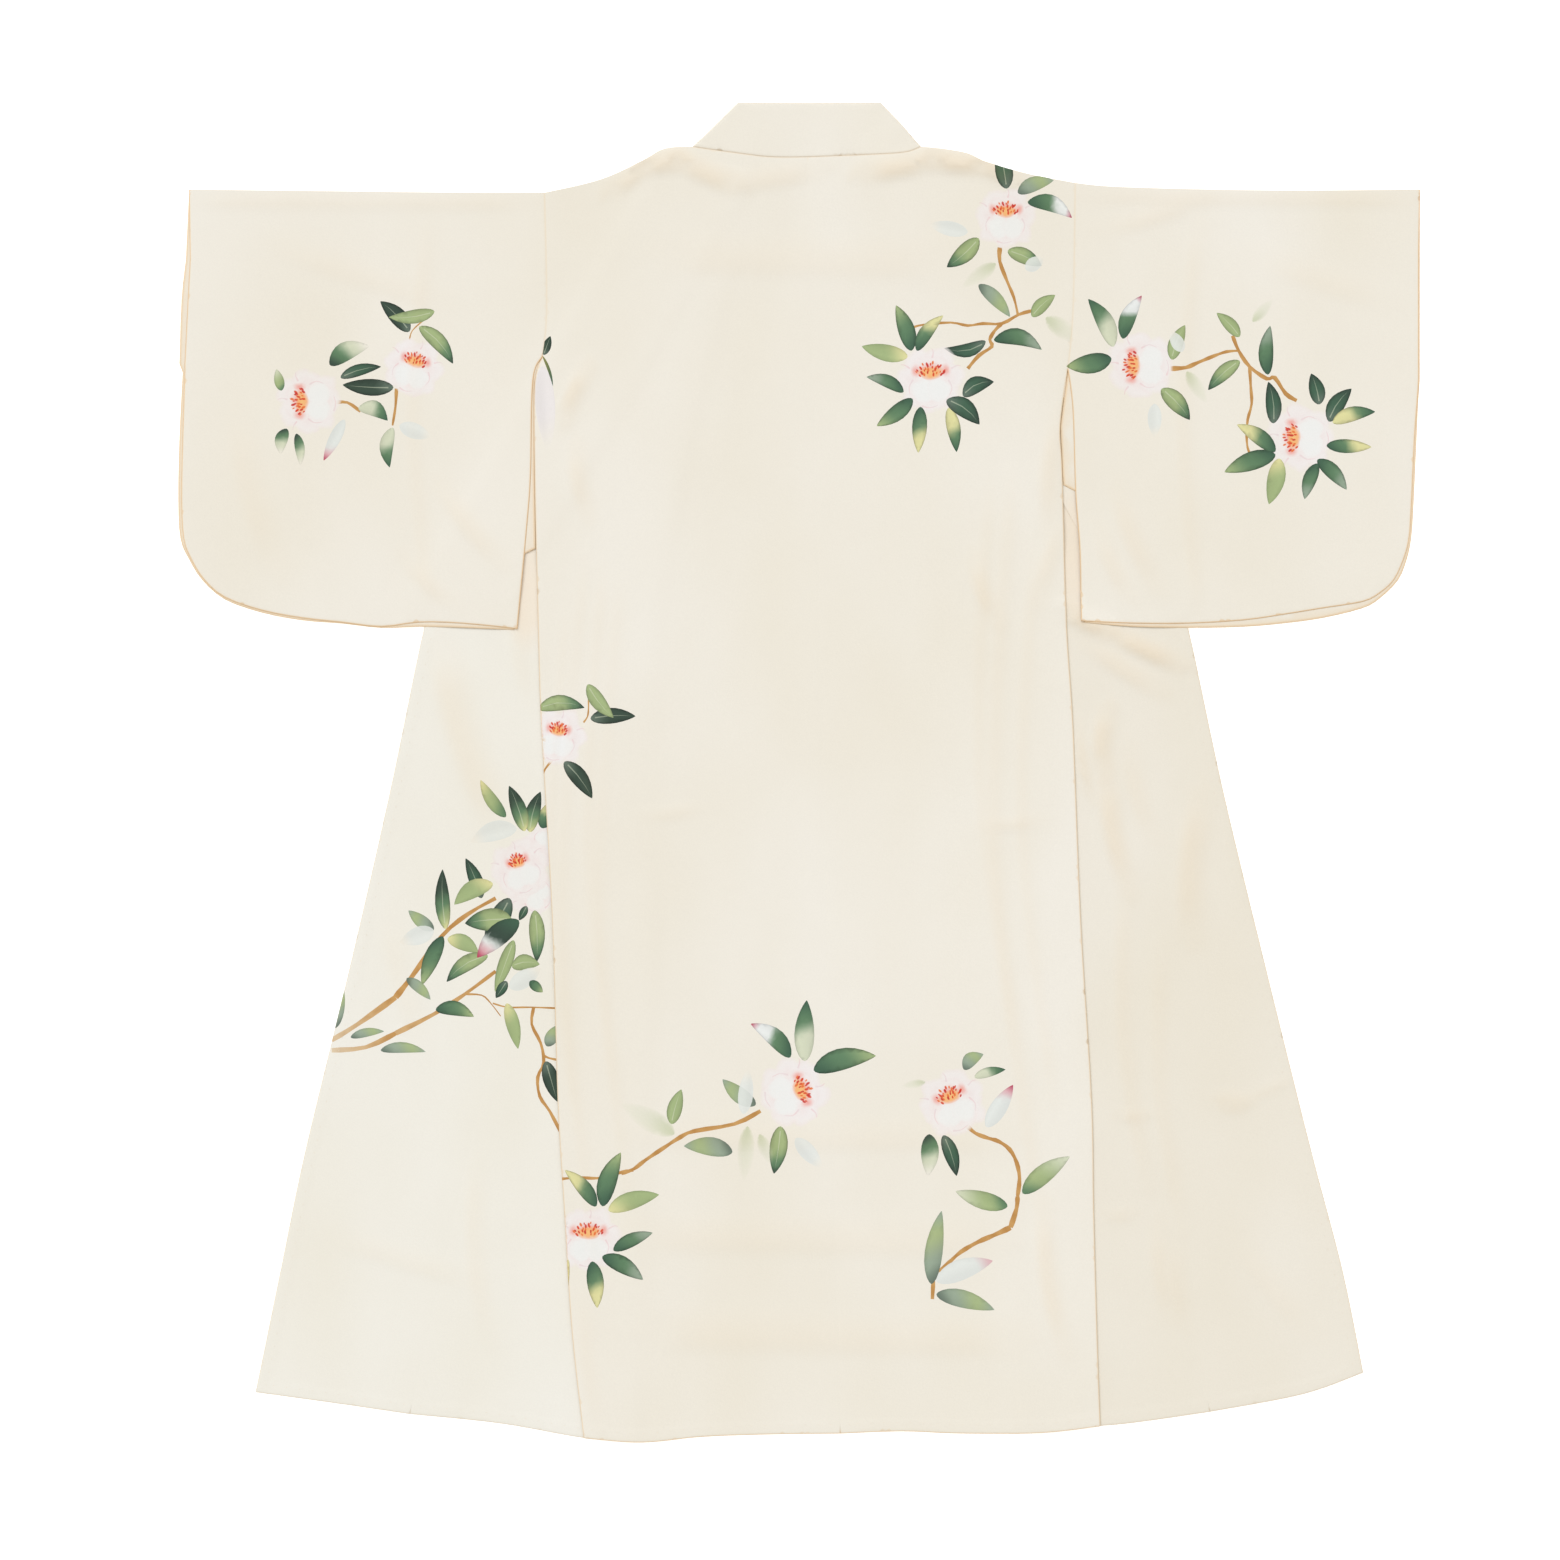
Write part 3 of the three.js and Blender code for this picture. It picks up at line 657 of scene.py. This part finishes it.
def make_cotton(name, roughness):
    """Plain-woven cotton with a fine dry crepe, matt and slightly uneven in tone."""
    material = new_material(name, {
        "Roughness": roughness, "Specular IOR Level": 0.18, "Sheen Weight": 0.12, "Sheen Roughness": 0.5})
    tree = material.node_tree
    place = add_node(tree, "ShaderNodeTexCoord", {}).outputs["Object"]

    def noise(scale, detail, stretch=(1, 1, 1)):
        spot = add_node(tree, "ShaderNodeMapping", {"Scale": stretch, "Vector": place}).outputs["Vector"]
        inputs = {"Scale": scale, "Detail": detail, "Vector": spot}
        return add_node(tree, "ShaderNodeTexNoise", inputs).outputs["Fac"]

    def threads(scale, direction):
        inputs = {"Scale": scale, "Distortion": 1.2, "Detail": 1.0, "Vector": place}
        return add_node(tree, "ShaderNodeTexWave", inputs, bands_direction=direction).outputs["Fac"]

    def bump(height, strength, distance, below=None):
        inputs = {"Strength": strength, "Distance": distance, "Height": height}
        if below:
            inputs["Normal"] = below
        return add_node(tree, "ShaderNodeBump", inputs).outputs["Normal"]

    def uneven(colour, factor, darkest):
        ramp = add_node(tree, "ShaderNodeValToRGB", {"Fac": factor})
        low, high = ramp.color_ramp.elements
        low.position, high.position = 0.3, 0.7
        low.color = (*darkest, 1)
        inputs = {"Factor": 1.0, "A": colour, "B": ramp.outputs["Color"]}
        mix = add_node(tree, "ShaderNodeMix", inputs, data_type="RGBA", blend_type="MULTIPLY")
        return mix.outputs["Result"]

    # The corner colours hold the print together with the painted shade and the painted warm light.
    dyed_and_shaded = add_node(tree, "ShaderNodeAttribute", {}, attribute_name="print").outputs["Color"]
    colour = uneven(dyed_and_shaded, noise(5.5, 2, (1, 0.5, 1)), (0.962, 0.945, 0.90))
    colour = uneven(colour, noise(17, 3), (0.992, 0.990, 0.985))
    colour = uneven(colour, noise(700, 3), (0.975, 0.975, 0.975))
    rumples = bump(noise(38, 3, (1, 0.45, 1)), 0.35, 0.0012)
    crepe = bump(noise(420, 4), 0.35, 0.0003, rumples)
    warp = bump(threads(620, "X"), 0.25, 0.0001, crepe)
    weave = bump(threads(560, "Y"), 0.25, 0.0001, warp)
    set_inputs(tree.nodes["Principled BSDF"], {"Base Color": colour, "Normal": weave})
    return material


def new_cloth():
    return {"points": [], "faces": [], "colours": []}


SHARP_EDGE = math.radians(55)


def sew(name, cloth, material):
    """Makes one object from a piece's points, faces and corner colours."""
    mesh = bpy.data.meshes.new(name)
    mesh.from_pydata(cloth["points"], [], cloth["faces"])
    # The corner colours hold the print, the painted shade and the painted warm light.
    attribute = mesh.color_attributes.new("print", "FLOAT_COLOR", "CORNER")
    attribute.data.foreach_set("color", np.array(cloth["colours"], dtype=np.float32).ravel())
    mesh.shade_smooth()
    mesh.set_sharp_from_angle(angle=SHARP_EDGE)
    mesh.materials.append(material)
    piece = add_object(name, mesh)
    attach(piece, "root")
    return piece


FRONT_FOLDS = [
    # from and to, height, reach to each side
    (246, 146, 282, 128, 4.2, 13), (282, 128, 350, 96, 4.0, 13), (262, 118, 330, 72, 2.0, 14),
    (280, 58, 276, 2, 3.0, 13), (280, 2, 300, -110, 3.0, 14), (366, -20, 356, -150, 2.2, 18),
    (300, 20, 322, -60, 1.2, 14), (392, -306, 404, -308, 1.6, 14), (408, -304, 456, -282, 0.8, 8),
    (296, -318, 318, -318, 1.2, 9), (284, -410, 306, -408, 1.0, 9), (328, -416, 338, -500, 1.4, 14),
    (346, -430, 352, -510, 1.0, 12), (-334, 116, -282, -50, 2.0, 24), (-262, 190, -250, 60, 1.0, 14),
    (296, -110, 318, -380, 1.0, 12), (330, -160, 350, -420, 0.8, 12), (-300, -360, -290, -520, 1.0, 14),
    (256, 44, 268, -26, 2.4, 8), (-430, -430, -300, -470, 0.8, 16), (400, -430, 470, -520, 0.7, 18),
    (-380, -130, -350, -250, 0.9, 18)
]
outlines = {side: {
    "okumi": outline_of(side, "okumi seam", "-collar on okumi", "-collar end", "-outer edge", "-okumi hem"),
    "outer front": outline_of(side, "front crease", "front hem", "okumi seam", "collar on front"),
} for side in SIDES}


def new_layer(names, over, folds, thickness=CLOTH, down_reach=0.0):
    """One layer of cloth, with the layers that it lies on. It comes down within down_reach of them."""
    panels = [outlines[side][name] for side in SIDES for name in names]
    return {
        "outlines": panels, "over": over, "folds": folds, "thickness": thickness, "down reach": down_reach}


front_layer = new_layer(("okumi", "outer front"), [], FRONT_FOLDS)
printed_cotton = make_cotton("printed cotton", 0.82)
# Beside the body, under the sleeves, the cloth is painted a little warmer: painted warm light, as bounced
# between the sleeve and the body.
PAINTED_WARM_LIGHT = [(0, (246, 232, 213), 0.75), (0.6, (246, 232, 213), 0.6), (1, (244, 232, 216), 0)]
PAINTED_WARM_LONG, PAINTED_WARM_WIDE, PAINTED_WARM_ANGLE = 66, 24, 91
PAINTED_WARM_PLACES = {
    side: lobe_motif(middle, PAINTED_WARM_LONG, PAINTED_WARM_WIDE, PAINTED_WARM_ANGLE, PAINTED_WARM_LIGHT, wave=0)
    for side, middle in (("left", (-250, 172)), ("right", (252, 204)))}

for side in SIDES:
    cloth = new_cloth()
    motifs = spray_motifs([GREAT_SPRAY]) if side == "left" else []
    motifs.append(PAINTED_WARM_PLACES[side])
    cut_panel(
        cloth, side, "okumi", front_layer, motifs, pressed=("okumi seam", "collar on okumi", "collar end"),
        hems=("okumi hem", "outer edge"), ground=FRONT_CREAM[side])
    okumi = sew(f"okumi_{side}_cloth", cloth, printed_cotton)
    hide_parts(f"okumi_{side}")


# The body panels.
# Each is one length of printed cotton: up the back, over the shoulder and down the front, with no
# seam on the shoulder. It is sewn to itself at the side, and to the other one down the back. Below
# the side seam each front is turned under along a crease and out again.
COLLAR_CLOTH = 1.8
HIDDEN_STEP = 16.0
LINES.update({
    "inner hem": [(-168, -611, 215, -604), (-198, -612, 277, -601)],
    "neck seam": [(-98, 575, 112, 575), (-70, 571, 98, 570), (-28, 566, 68, 568), (8, 566, 8, 566)],
    "back seam": [(8, 566, 8, 566), (38, -608, 38, -608)],
    "shoulder": [
        (-98, 575, 112, 575), (-124, 573, 151, 570), (-144, 562, 172, 561), (-183, 545, 208, 551),
        (-234, 533, 254, 542)],
    "armhole": [(-234, 533, 254, 542), (-232, 426, 252, 426), (-236, 382, 247, 370)],
    "side seam": [
        (-236, 382, 247, 370), (-243, 358, 240, 318), (-243, 275, 242, 275), (-240, 136, 246, 136),
        (-237, 42, 252, 42), (-227, -135, 259, -135), (-222, -300, 269, -300), (-216, -402, 271, -402),
        (-209, -513, 274, -513), (-198, -612, 277, -601)],
    "back hem": [
        (-198, -612, 277, -601), (-144, -616, 224, -607), (-89, -611, 150, -608), (-34, -609, 95, -606),
        (38, -608, 38, -608)],
    "collar turn": [(-56, 616, 75, 616), (-83, 589, 95, 595), (-98, 575, 112, 575)],
    "collar outer edge": [(-98, 575, 112, 575), (-106, 565, 120, 567), (-333, 160, 347, 159)],
    "sleeve top": [
        (-234, 533, 254, 542), (-300, 533, 300, 538), (-400, 534, 440, 535), (-561, 536, 571, 536)],
    "sleeve open side": [
        (-236, 382, 247, 370), (-244.5, 360, 251.5, 333), (-246.5, 275, 254, 257), (-250, 226, 258, 202),
        (-259, 131, 259, 138)],
    "sleeve inner side": [
        (-236, 382, 247, 370), (-243, 358, 240, 318), (-243, 275, 242, 275), (-242, 206, 243, 264),
        (-252, 201, 255, 258), (-262, 131, 262, 138)],
})
SLEEVE_BOTTOM = [
    # x, y and the upper wall's inset for the left sleeve, then for the right one
    (-259, 131, 1, 259, 138, 1), (-310, 133, 4, 307, 134, 3), (-349, 134, 4, 357, 133, 4),
    (-384, 133, 1, 408, 134, 6), (-420, 137, 1, 444, 137, 8), (-457, 140, 2, 481, 142, 9),
    (-494, 147, 2, 518, 151, 6), (-528, 159, 2, 534, 160, 5), (-549, 177, 2, 551, 177, 4),
    (-561, 196, 2, 559, 196, 3), (-569, 215, 3, 563, 215, 2), (-571, 251, 3, 565, 241, 2),
    (-570, 306, 3, 568, 306, 2), (-567, 368, 2, 569.5, 340, 1),
]
WRIST = [(-570, 376, 5, 571, 361, 1), (-568, 435, 6, 571, 435, 1), (-564, 472, 4, 571, 480, 1)]
SLEEVE_CORNER_Y = 170


def sleeve_edges(side, share):
    """The sleeve's bottom and wrist edges, for the under wall at share 0 and the upper wall at 1."""
    first, inward = (0, share) if side == "left" else (3, -share)
    for rows in (SLEEVE_BOTTOM, WRIST):
        points = []
        for x, y, inset_by in (row[first:first + 3] for row in rows):
            below = y < SLEEVE_CORNER_Y
            points.append((x, y + inset_by * share) if below else (x + inset_by * inward, y))
        yield smooth_path(points, EDGE_STEPS)


for side in SIDES:
    outlines[side].update({
        "collar": outline_of(
            side, "collar turn", "collar outer edge", "collar end", "collar on okumi", "collar on front"),
        "inner front": outline_of(
            side, "shoulder", "armhole", "side seam", "-inner hem", "-front crease"),
        "back": outline_of(
            side, "neck seam", "back seam", "-back hem", "-side seam", "-armhole", "-shoulder"),
        "sleeve under": outline_of(
            side, "armhole", "sleeve inner side", *sleeve_edges(side, 0), "-sleeve top"),
        "sleeve over": outline_of(
            side, "armhole", "sleeve open side", *sleeve_edges(side, 1), "-sleeve top"),
    })
collar_layer = new_layer(("collar",), [], FRONT_FOLDS, thickness=COLLAR_CLOTH)
middle_layer = new_layer(("inner front", "sleeve under"), [front_layer, collar_layer], [], down_reach=40.0)
TOP_FOLDS = [
    # from and to, height, reach to each side
    (-170, 534, -140, 556, 2.2, 14), (-140, 556, -112, 560, 3.2, 15), (-112, 560, -62, 538, 3.0, 15),
    (-62, 538, 20, 552, 1.6, 16), (60, 548, 122, 560, 3.6, 15), (122, 560, 168, 556, 4.6, 15),
    (168, 556, 196, 544, 3.0, 13), (-560, 524, -246, 522, 0.9, 13), (262, 528, 564, 525, 1.0, 13),
    (-199, 195, -186, -470, 0.7, 9), (-182, 190, -170, -300, 0.7, 9), (-166, 180, -156, -420, 0.6, 9),
    (-214, 160, -206, -330, 0.6, 8), (173, 262, 196, -250, 0.8, 10), (192, 270, 218, -400, 0.9, 10),
    (214, 200, 232, -300, 0.8, 9), (158, 196, 178, 138, 2.0, 12), (-198, 372, -218, 326, 2.8, 12),
    (-208, 300, -198, 236, 1.8, 12), (236, 330, 226, 220, 1.8, 13), (240, 226, 218, 160, 1.5, 12),
    (-344, 500, -343, 160, 0.8, 11), (364, 505, 365, 150, 0.9, 11), (-332, 262, -276, 190, 1.6, 14),
    (-366, 196, -318, 150, 1.2, 12), (-140, -42, -92, -36, 1.0, 9), (168, -52, 222, -46, 1.0, 9),
    (282, 496, 372, 524, 1.2, 14), (288, 262, 326, 168, 1.6, 14), (274, 220, 300, 160, 1.4, 12),
    (-520, 330, -486, 190, 1.0, 20), (-150, -336, 190, -340, 0.9, 22), (-150, -430, 180, -436, 0.9, 24),
    (-130, -520, 200, -526, 1.0, 26), (222, -396, 240, -530, 2.2, 13), (-120, 470, 130, 466, 0.9, 26),
    (-200, -480, -186, -600, 0.9, 12), (-480, 480, -330, 430, 0.8, 18), (420, 470, 540, 430, 0.8, 18)
]
top_layer = new_layer(
    ("back", "sleeve over"), [front_layer, collar_layer, middle_layer], TOP_FOLDS, down_reach=95.0)

BACK_SPRAYS = [((190, 510), [
    (4.4, 2.2, 1, [(-6, -30), (-6, -44), (1, -63), (8, -80), (12, -97)]),
    (2.0, 3.4, 1, [(-94, -110), (-82, -107), (-55, -105), (-38, -108), (-23, -106), (-4, -106), (13, -97),
        (27, -93)]),
    (3.4, 3.6, 1, [(-4, -106), (-11, -113), (-16, -122), (-14, -129), (-27, -138), (-38, -151)])
], [
    (1, 29, 99, 42, 18, "dark", 0), (12, 25, 19, 38, 15, "soft", 0.08),
    (22, 16, -20, 47, 17, "white_tip", 0.14), (-38, -15, 168, 40, 15, "mist", 0),
    (-27, -21, 222, 43, 18, "light_dark", 0.04), (-10, -46, 215, 42, 16, "ghost", 0),
    (2, -33, -24, 37, 16, "light_dark", 0.05), (-27, -67, -46, 45, 14, "soft", 0.05),
    (26, -99, 43, 32, 14, "light", 0.06), (-12, -122, -12, 49, 17, "dark_grey", 0.16),
    (-20, -124, 189, 42, 14, "dark", 0.14), (20, -52, 35, 22, 14, "mist", 0),
    (40, -100, -34, 44, 20, "ghost", 0)
], [(0, 0, 32, 270, 1.0)]), ((121, 361), [], [
    (-19, 29, 109, 48, 17, "dark_light", -0.04), (-14, 29, 53, 44, 14, "dark_yellow", 0.08),
    (-23, 23, 167, 47, 17, "yellow_light", 0.02), (-27, -12, 158, 40, 13, "dark_grey", -0.1),
    (-18, -19, 217, 45, 16, "dark_light", 0.04), (-10, -27, 267, 46, 15, "dark_yellow", 0),
    (18, -28, -80, 45, 14, "yellow_dark", 0.03), (16, -20, -37, 41, 19, "dark", 0.1),
    (32, -16, 24, 34, 17, "dark", 0.14)
], [(0, 0, 35, 272, 1.05)]), ((-233, 370), [], [
    (-2, 15, 70, 20, 9, "night", 0), (-3, 4, 274, 88, 20, "white", 0), (-3, 14, 289, 32, 3, "olive", 0.05)
], []), ((-222, 33), [
    (1.4, 1.6, 1, [(31, 37), (31, 28), (30, 20), (26, 14)]),
    (2.6, 1.6, 1, [(-5, -23), (-12, -32), (-16, -40)])
], [
    (-19, 28, 1, 46, 16, "light_dark", 0.12), (33, 18, 3, 45, 16, "night", 0.04),
    (30, 52, -52, 42, 15, "light", -0.05), (7, -25, -53, 46, 17, "night", 0.05)
], [(0, 0, 30, 262, 0.78)]), ((-190, -429), [
    (2.6, 3.2, 1, [(-32, 60), (-24, 61), (-13, 62), (0, 61), (14, 62), (29, 67), (41, 69)]),
    (3.6, 4.2, 1, [(29, 66), (41, 70), (53, 79), (71, 91), (88, 102), (102, 108), (142, 115), (168, 128)])
], [
    (4, 33, 131, 48, 15, "dark_yellow", -0.06), (10, 33, 71, 57, 19, "dark_light", 0.06),
    (16, 29, 17, 53, 18, "yellow_light", 0.05), (21, -11, 24, 43, 14, "dark_grey", 0.05),
    (10, -17, -30, 47, 17, "dark_grey", 0.06), (0, -22, -84, 47, 17, "dark_yellow", 0.02),
    (79, 115, 74, 36, 15, "light", 0.03), (140, 87, 173, 49, 19, "soft", -0.06),
    (82, 105, 150, 62, 24, "ghost", 0), (-24, -20, 262, 70, 8, "yellow_dark", 0)
], [(-4, 0, 34, 271, 1.1)]), ((-5, -294), [], [
    (-3, 35, 140, 52, 18, "white_tip", -0.1), (11, 31, 88, 61, 20, "pale_dark", 0.02),
    (20, 22, 13, 64, 22, "dark_light", 0.07), (-38, -13, 142, 42, 16, "soft", 0.05),
    (-50, -22, 84, 46, 15, "mist", 0), (-13, -34, 262, 48, 18, "light_dark", 0.02),
    (-46, -34, 266, 56, 18, "ghost", 0), (-34, -42, 292, 34, 14, "ghost", 0),
    (2, -46, -48, 40, 16, "mist", 0)
], [(0, 0, 36, 200, 0.95)]), ((141, -304), [
    (3.8, 4.0, 1, [(14, -22), (23, -30), (36, -35), (46, -38), (57, -46), (64, -59), (67, -75), (65, -93)]),
    (4.0, 5.2, 1, [(65, -93), (64, -105), (58, -124)]),
    (5.2, 3.2, 1, [(58, -124), (41, -132), (25, -139), (8, -149), (-4, -160), (-14, -168)]),
    (3.6, 4.0, 1, [(-19, -178), (-20, -196)])
], [
    (11, 34, 37, 25, 14, "soft", 0.14), (22, 26, 14, 32, 10, "pale_dark", 0.05),
    (-27, 21, 190, 24, 9, "ghost", 0), (-23, -31, 268, 42, 18, "dark_pale", 0.03),
    (-9, -32, -72, 43, 15, "dark", 0.04), (34, -24, 58, 50, 17, "bud", 0),
    (55, -103, 164, 54, 18, "light_pale", 0.02), (70, -90, 38, 60, 19, "light_pale", 0.04),
    (-21, -181, 82, 74, 18, "soft", 0.03), (-16, -178, 20, 60, 21, "pale_bud", 0.04),
    (-16, -191, -15, 60, 18, "soft", 0.04)
], [(0, 0, 35, 292, 0.95)])]
ARMHOLE_SPRAY = ((314, 374), [
    (4.6, 2.4, 1, [(30, -3), (45, -2), (57, 3), (74, 10), (86, 14), (98, 15)]),
    (3.4, 4.2, 1, [(92, 30), (98, 15), (109, -1), (126, -13), (134, -12), (145, -28), (156, -35)]),
    (3.2, 2.0, 1, [(109, -1), (110, -20), (111, -38), (107, -54), (106, -71), (107, -82), (110, -90)])
], [
    (-27, 19, 118, 54, 18, "pale_dark", -0.08), (-18, 27, 66, 47, 16, "white_tip", 0.08),
    (-29, 7, 190, 46, 20, "dark_light", 0.03), (31, 6, 69, 37, 15, "light", 0.05),
    (21, -23, -48, 42, 18, "light_dark", 0.05), (46, -6, -57, 38, 15, "ghost", 0),
    (99, 5, 223, 43, 15, "light_dark", -0.05), (99, 29, 134, 33, 13, "light", -0.05),
    (14, -38, 270, 34, 14, "mist", 0), (127, -9, 87, 49, 15, "dark_grey", 0.06),
    (112, 44, 48, 30, 12, "ghost", 0), (42, 14, 120, 24, 13, "mist", 0)
], [(0, 0, 35, 0, 1.0)])

for side in SIDES:
    cloth = new_cloth()
    cut_panel(
        cloth, side, "outer front", front_layer, spray_motifs([GREAT_SPRAY] if side == "left" else []),
        pressed=("okumi seam", "collar on front"), folded=("front crease",), hems=("front hem",),
        ground=FRONT_CREAM[side])
    cut_panel(
        cloth, side, "inner front", middle_layer, step=HIDDEN_STEP, sewn=("armhole", "side seam"),
        folded=("shoulder", "front crease"))
    cut_panel(
        cloth, side, "back", top_layer, spray_motifs(BACK_SPRAYS + [ARMHOLE_SPRAY]),
        sewn=("armhole", "neck seam"), pressed=("back seam",), folded=("shoulder",), hems=("back hem",),
        edge_shade=0.4)
    body = sew(f"body_{side}_cloth", cloth, printed_cotton)
    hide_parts(f"body_{side}")


# The sleeves.
# Each is one piece of printed cotton folded at the top, rounded and sewn below, and open at the
# wrist. It is sewn to the body only as far as the armhole. The under wall peeps out at the edge.
SLEEVE_SPRAYS = {
    "left": [((-451, 341), [
        (3.2, 3.0, 1, [(26, -1), (39, -1), (52, -10)]), (3.4, 2.0, 1, [(88, 13), (87, -5), (84, -24)]),
        (1.2, 1.2, 1, [(101, 62), (104, 71), (116, 82)])
    ], [
        (101, 70, 134, 42, 17, "night", -0.05), (126, 90, 187, 46, 14, "light", 0.06),
        (111, 75, -48, 50, 16, "light_dark", 0.08), (21, 37, 25, 44, 19, "dark_pale", 0.12),
        (32, 24, 15, 42, 12, "dark", 0.06), (85, 14, 177, 51, 17, "night", 0.02),
        (-27, 11, 103, 22, 10, "light_pale", 0), (-22, -27, 257, 26, 13, "dark_pale", -0.1),
        (-12, -32, 277, 32, 10, "dark_pale", 0.05), (36, -18, 243, 46, 12, "bud", 0),
        (50, -6, -24, 32, 16, "pale_dark", 0.18), (91, -24, -20, 34, 16, "mist", 0),
        (84, -26, 266, 40, 14, "pale_dark", -0.12)
    ], [(0, 0, 34, 0, 1.0), (105, 34, 31, 255, 0.95)])],
    "right": [ARMHOLE_SPRAY, ((461, 308), [], [
        (19, 33, 105, 32, 16, "dark", -0.04), (28, 16, 55, 40, 17, "dark", 0.08),
        (32, 15, 14, 44, 15, "yellow_dark", 0.08), (26, -8, -2, 45, 14, "dark_yellow", 0),
        (17, -22, -46, 42, 15, "dark_grey", 0.06), (17, -26, 250, 38, 14, "dark_grey", -0.05),
        (-21, -21, 257, 47, 18, "yellow_light", 0.03), (-25, -17, 199, 54, 19, "dark_light", -0.03),
        (-25, -14, 145, 47, 16, "dark_yellow", -0.06), (-27, 14, 97, 42, 16, "dark", -0.06)
    ], [(0, 0, 35, 0, 1.0)])],
}

for side in SIDES:
    cloth = new_cloth()
    cut_panel(
        cloth, side, "sleeve under", middle_layer, step=12.0, sewn=("armhole",), folded=("sleeve top",),
        edge_shade=0.4, edge_shade_reach=2.4)
    cut_panel(
        cloth, side, "sleeve over", top_layer, spray_motifs(SLEEVE_SPRAYS[side]), sewn=("armhole",),
        folded=("sleeve top",), edge_shade=0.7)
    sleeve = sew(f"sleeve_{side}_cloth", cloth, printed_cotton)
    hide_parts(f"sleeve_{side}")


# The collar.
# One long band of plain cream cotton, folded in two. It stands above the back of the neck, turns
# over at each side, and runs down the fronts under the shoulders.
BAND_CLOTH = 1.3
outlines["left"]["neck band"] = outline_of(
    "left", "collar turn", "neck seam", half_line("neck seam", "right")[::-1],
    half_line("collar turn", "right")[::-1])
cloth = new_cloth()
for side in SIDES:
    # The collar gets the same painted warm light beside the body.
    cut_panel(
        cloth, side, "collar", collar_layer, [PAINTED_WARM_PLACES[side]], step=10.0,
        pressed=("collar on okumi", "collar on front"))
band_layer = {**top_layer, "thickness": BAND_CLOTH}
cut_panel(cloth, "left", "neck band", band_layer, step=5.0, edge_shade=0.1)
plain_cotton = make_cotton("plain cotton", 0.8)
collar = sew("collar_band", cloth, plain_cotton)
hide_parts("collar")


# The hem stitches.
# The hems are turned in by hand and caught down with cream thread. Only a short stitch of it shows
# on the right side at each step.
STITCH_IN = 8.5
STITCH_STEP = 12.0
STITCH_SIZE = (1.7, 0.5, 0.4)
STITCH_RISE = 0.05

run_points, run_edges = [], []
for side in SIDES:
    for panel, layer, names in (
            ("okumi", front_layer, ("okumi hem", "outer edge")), ("outer front", front_layer, ("front hem",)),
            ("back", top_layer, ("back hem",))):
        edge = resampled(outlines[side][panel], STITCH_STEP)
        at_hem = distance_to(np.array(edge), line_pieces(names, side)) < ON_LINE
        line = np.array(inset(edge, STITCH_IN))
        at_hem &= inside_of(line, outlines[side][panel])
        raised = drape(layer, line) + CLOTH + HEM_RAISE + STITCH_RISE
        ends = range(len(run_points) + 1, len(run_points) + len(edge))
        run_points += [(x * MM, y * MM, z * MM) for (x, y), z in zip(line, raised)]
        run_edges += [(i - 1, i) for i, a, b in zip(ends, at_hem, at_hem[1:]) if a and b]

thread = new_material("cream thread", {"Base Color": (0.80, 0.73, 0.62, 1), "Roughness": 0.6})
tree = bpy.data.node_groups.new("stitches along lines", "GeometryNodeTree")
for name, way, kind in (
        ("Lines", "INPUT", "Geometry"), ("Step", "INPUT", "Float"), ("Size", "INPUT", "Vector"),
        ("Thread", "INPUT", "Material"), ("Stitches", "OUTPUT", "Geometry")):
    tree.interface.new_socket(name=name, in_out=way, socket_type="NodeSocket" + kind)
given = add_node(tree, "NodeGroupInput", {}).outputs
curves = add_node(tree, "GeometryNodeMeshToCurve", {"Mesh": given["Lines"]}).outputs["Curve"]
spaced = add_node(
    tree, "GeometryNodeResampleCurve", {"Curve": curves, "Length": given["Step"]}, mode="LENGTH")
bead = add_node(tree, "GeometryNodeMeshIcoSphere", {"Radius": 0.5, "Subdivisions": 2})
along = add_node(tree, "GeometryNodeInputTangent", {}).outputs["Tangent"]
turned = add_node(tree, "FunctionNodeAlignRotationToVector", {"Vector": along}, axis="X")
placed = add_node(tree, "GeometryNodeInstanceOnPoints", {
    "Points": spaced.outputs["Curve"], "Instance": bead.outputs["Mesh"],
    "Rotation": turned.outputs["Rotation"], "Scale": given["Size"]}).outputs["Instances"]
real = add_node(tree, "GeometryNodeRealizeInstances", {"Geometry": placed}).outputs["Geometry"]
coated = add_node(tree, "GeometryNodeSetMaterial", {"Geometry": real, "Material": given["Thread"]})
add_node(tree, "NodeGroupOutput", {"Stitches": coated.outputs["Geometry"]})

run_mesh = bpy.data.meshes.new("hem_lines")
run_mesh.from_pydata(run_points, run_edges, [])
stitches = add_object("hem_stitches", run_mesh)
modifier = stitches.modifiers.new("stitches", "NODES")
modifier.node_group = tree
settings = {"Step": STITCH_STEP * MM, "Size": [s * MM for s in STITCH_SIZE], "Thread": thread}
for item in tree.interface.items_tree:
    if item.in_out == "INPUT" and item.name in settings:
        modifier[item.identifier] = settings[item.name]
bpy.context.view_layer.update()
evaluated = stitches.evaluated_get(bpy.context.evaluated_depsgraph_get())
stitch_mesh = bpy.data.meshes.new_from_object(evaluated)
stitches.modifiers.remove(modifier)
stitches.data = stitch_mesh
stitch_mesh.shade_smooth()
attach(stitches, "root")
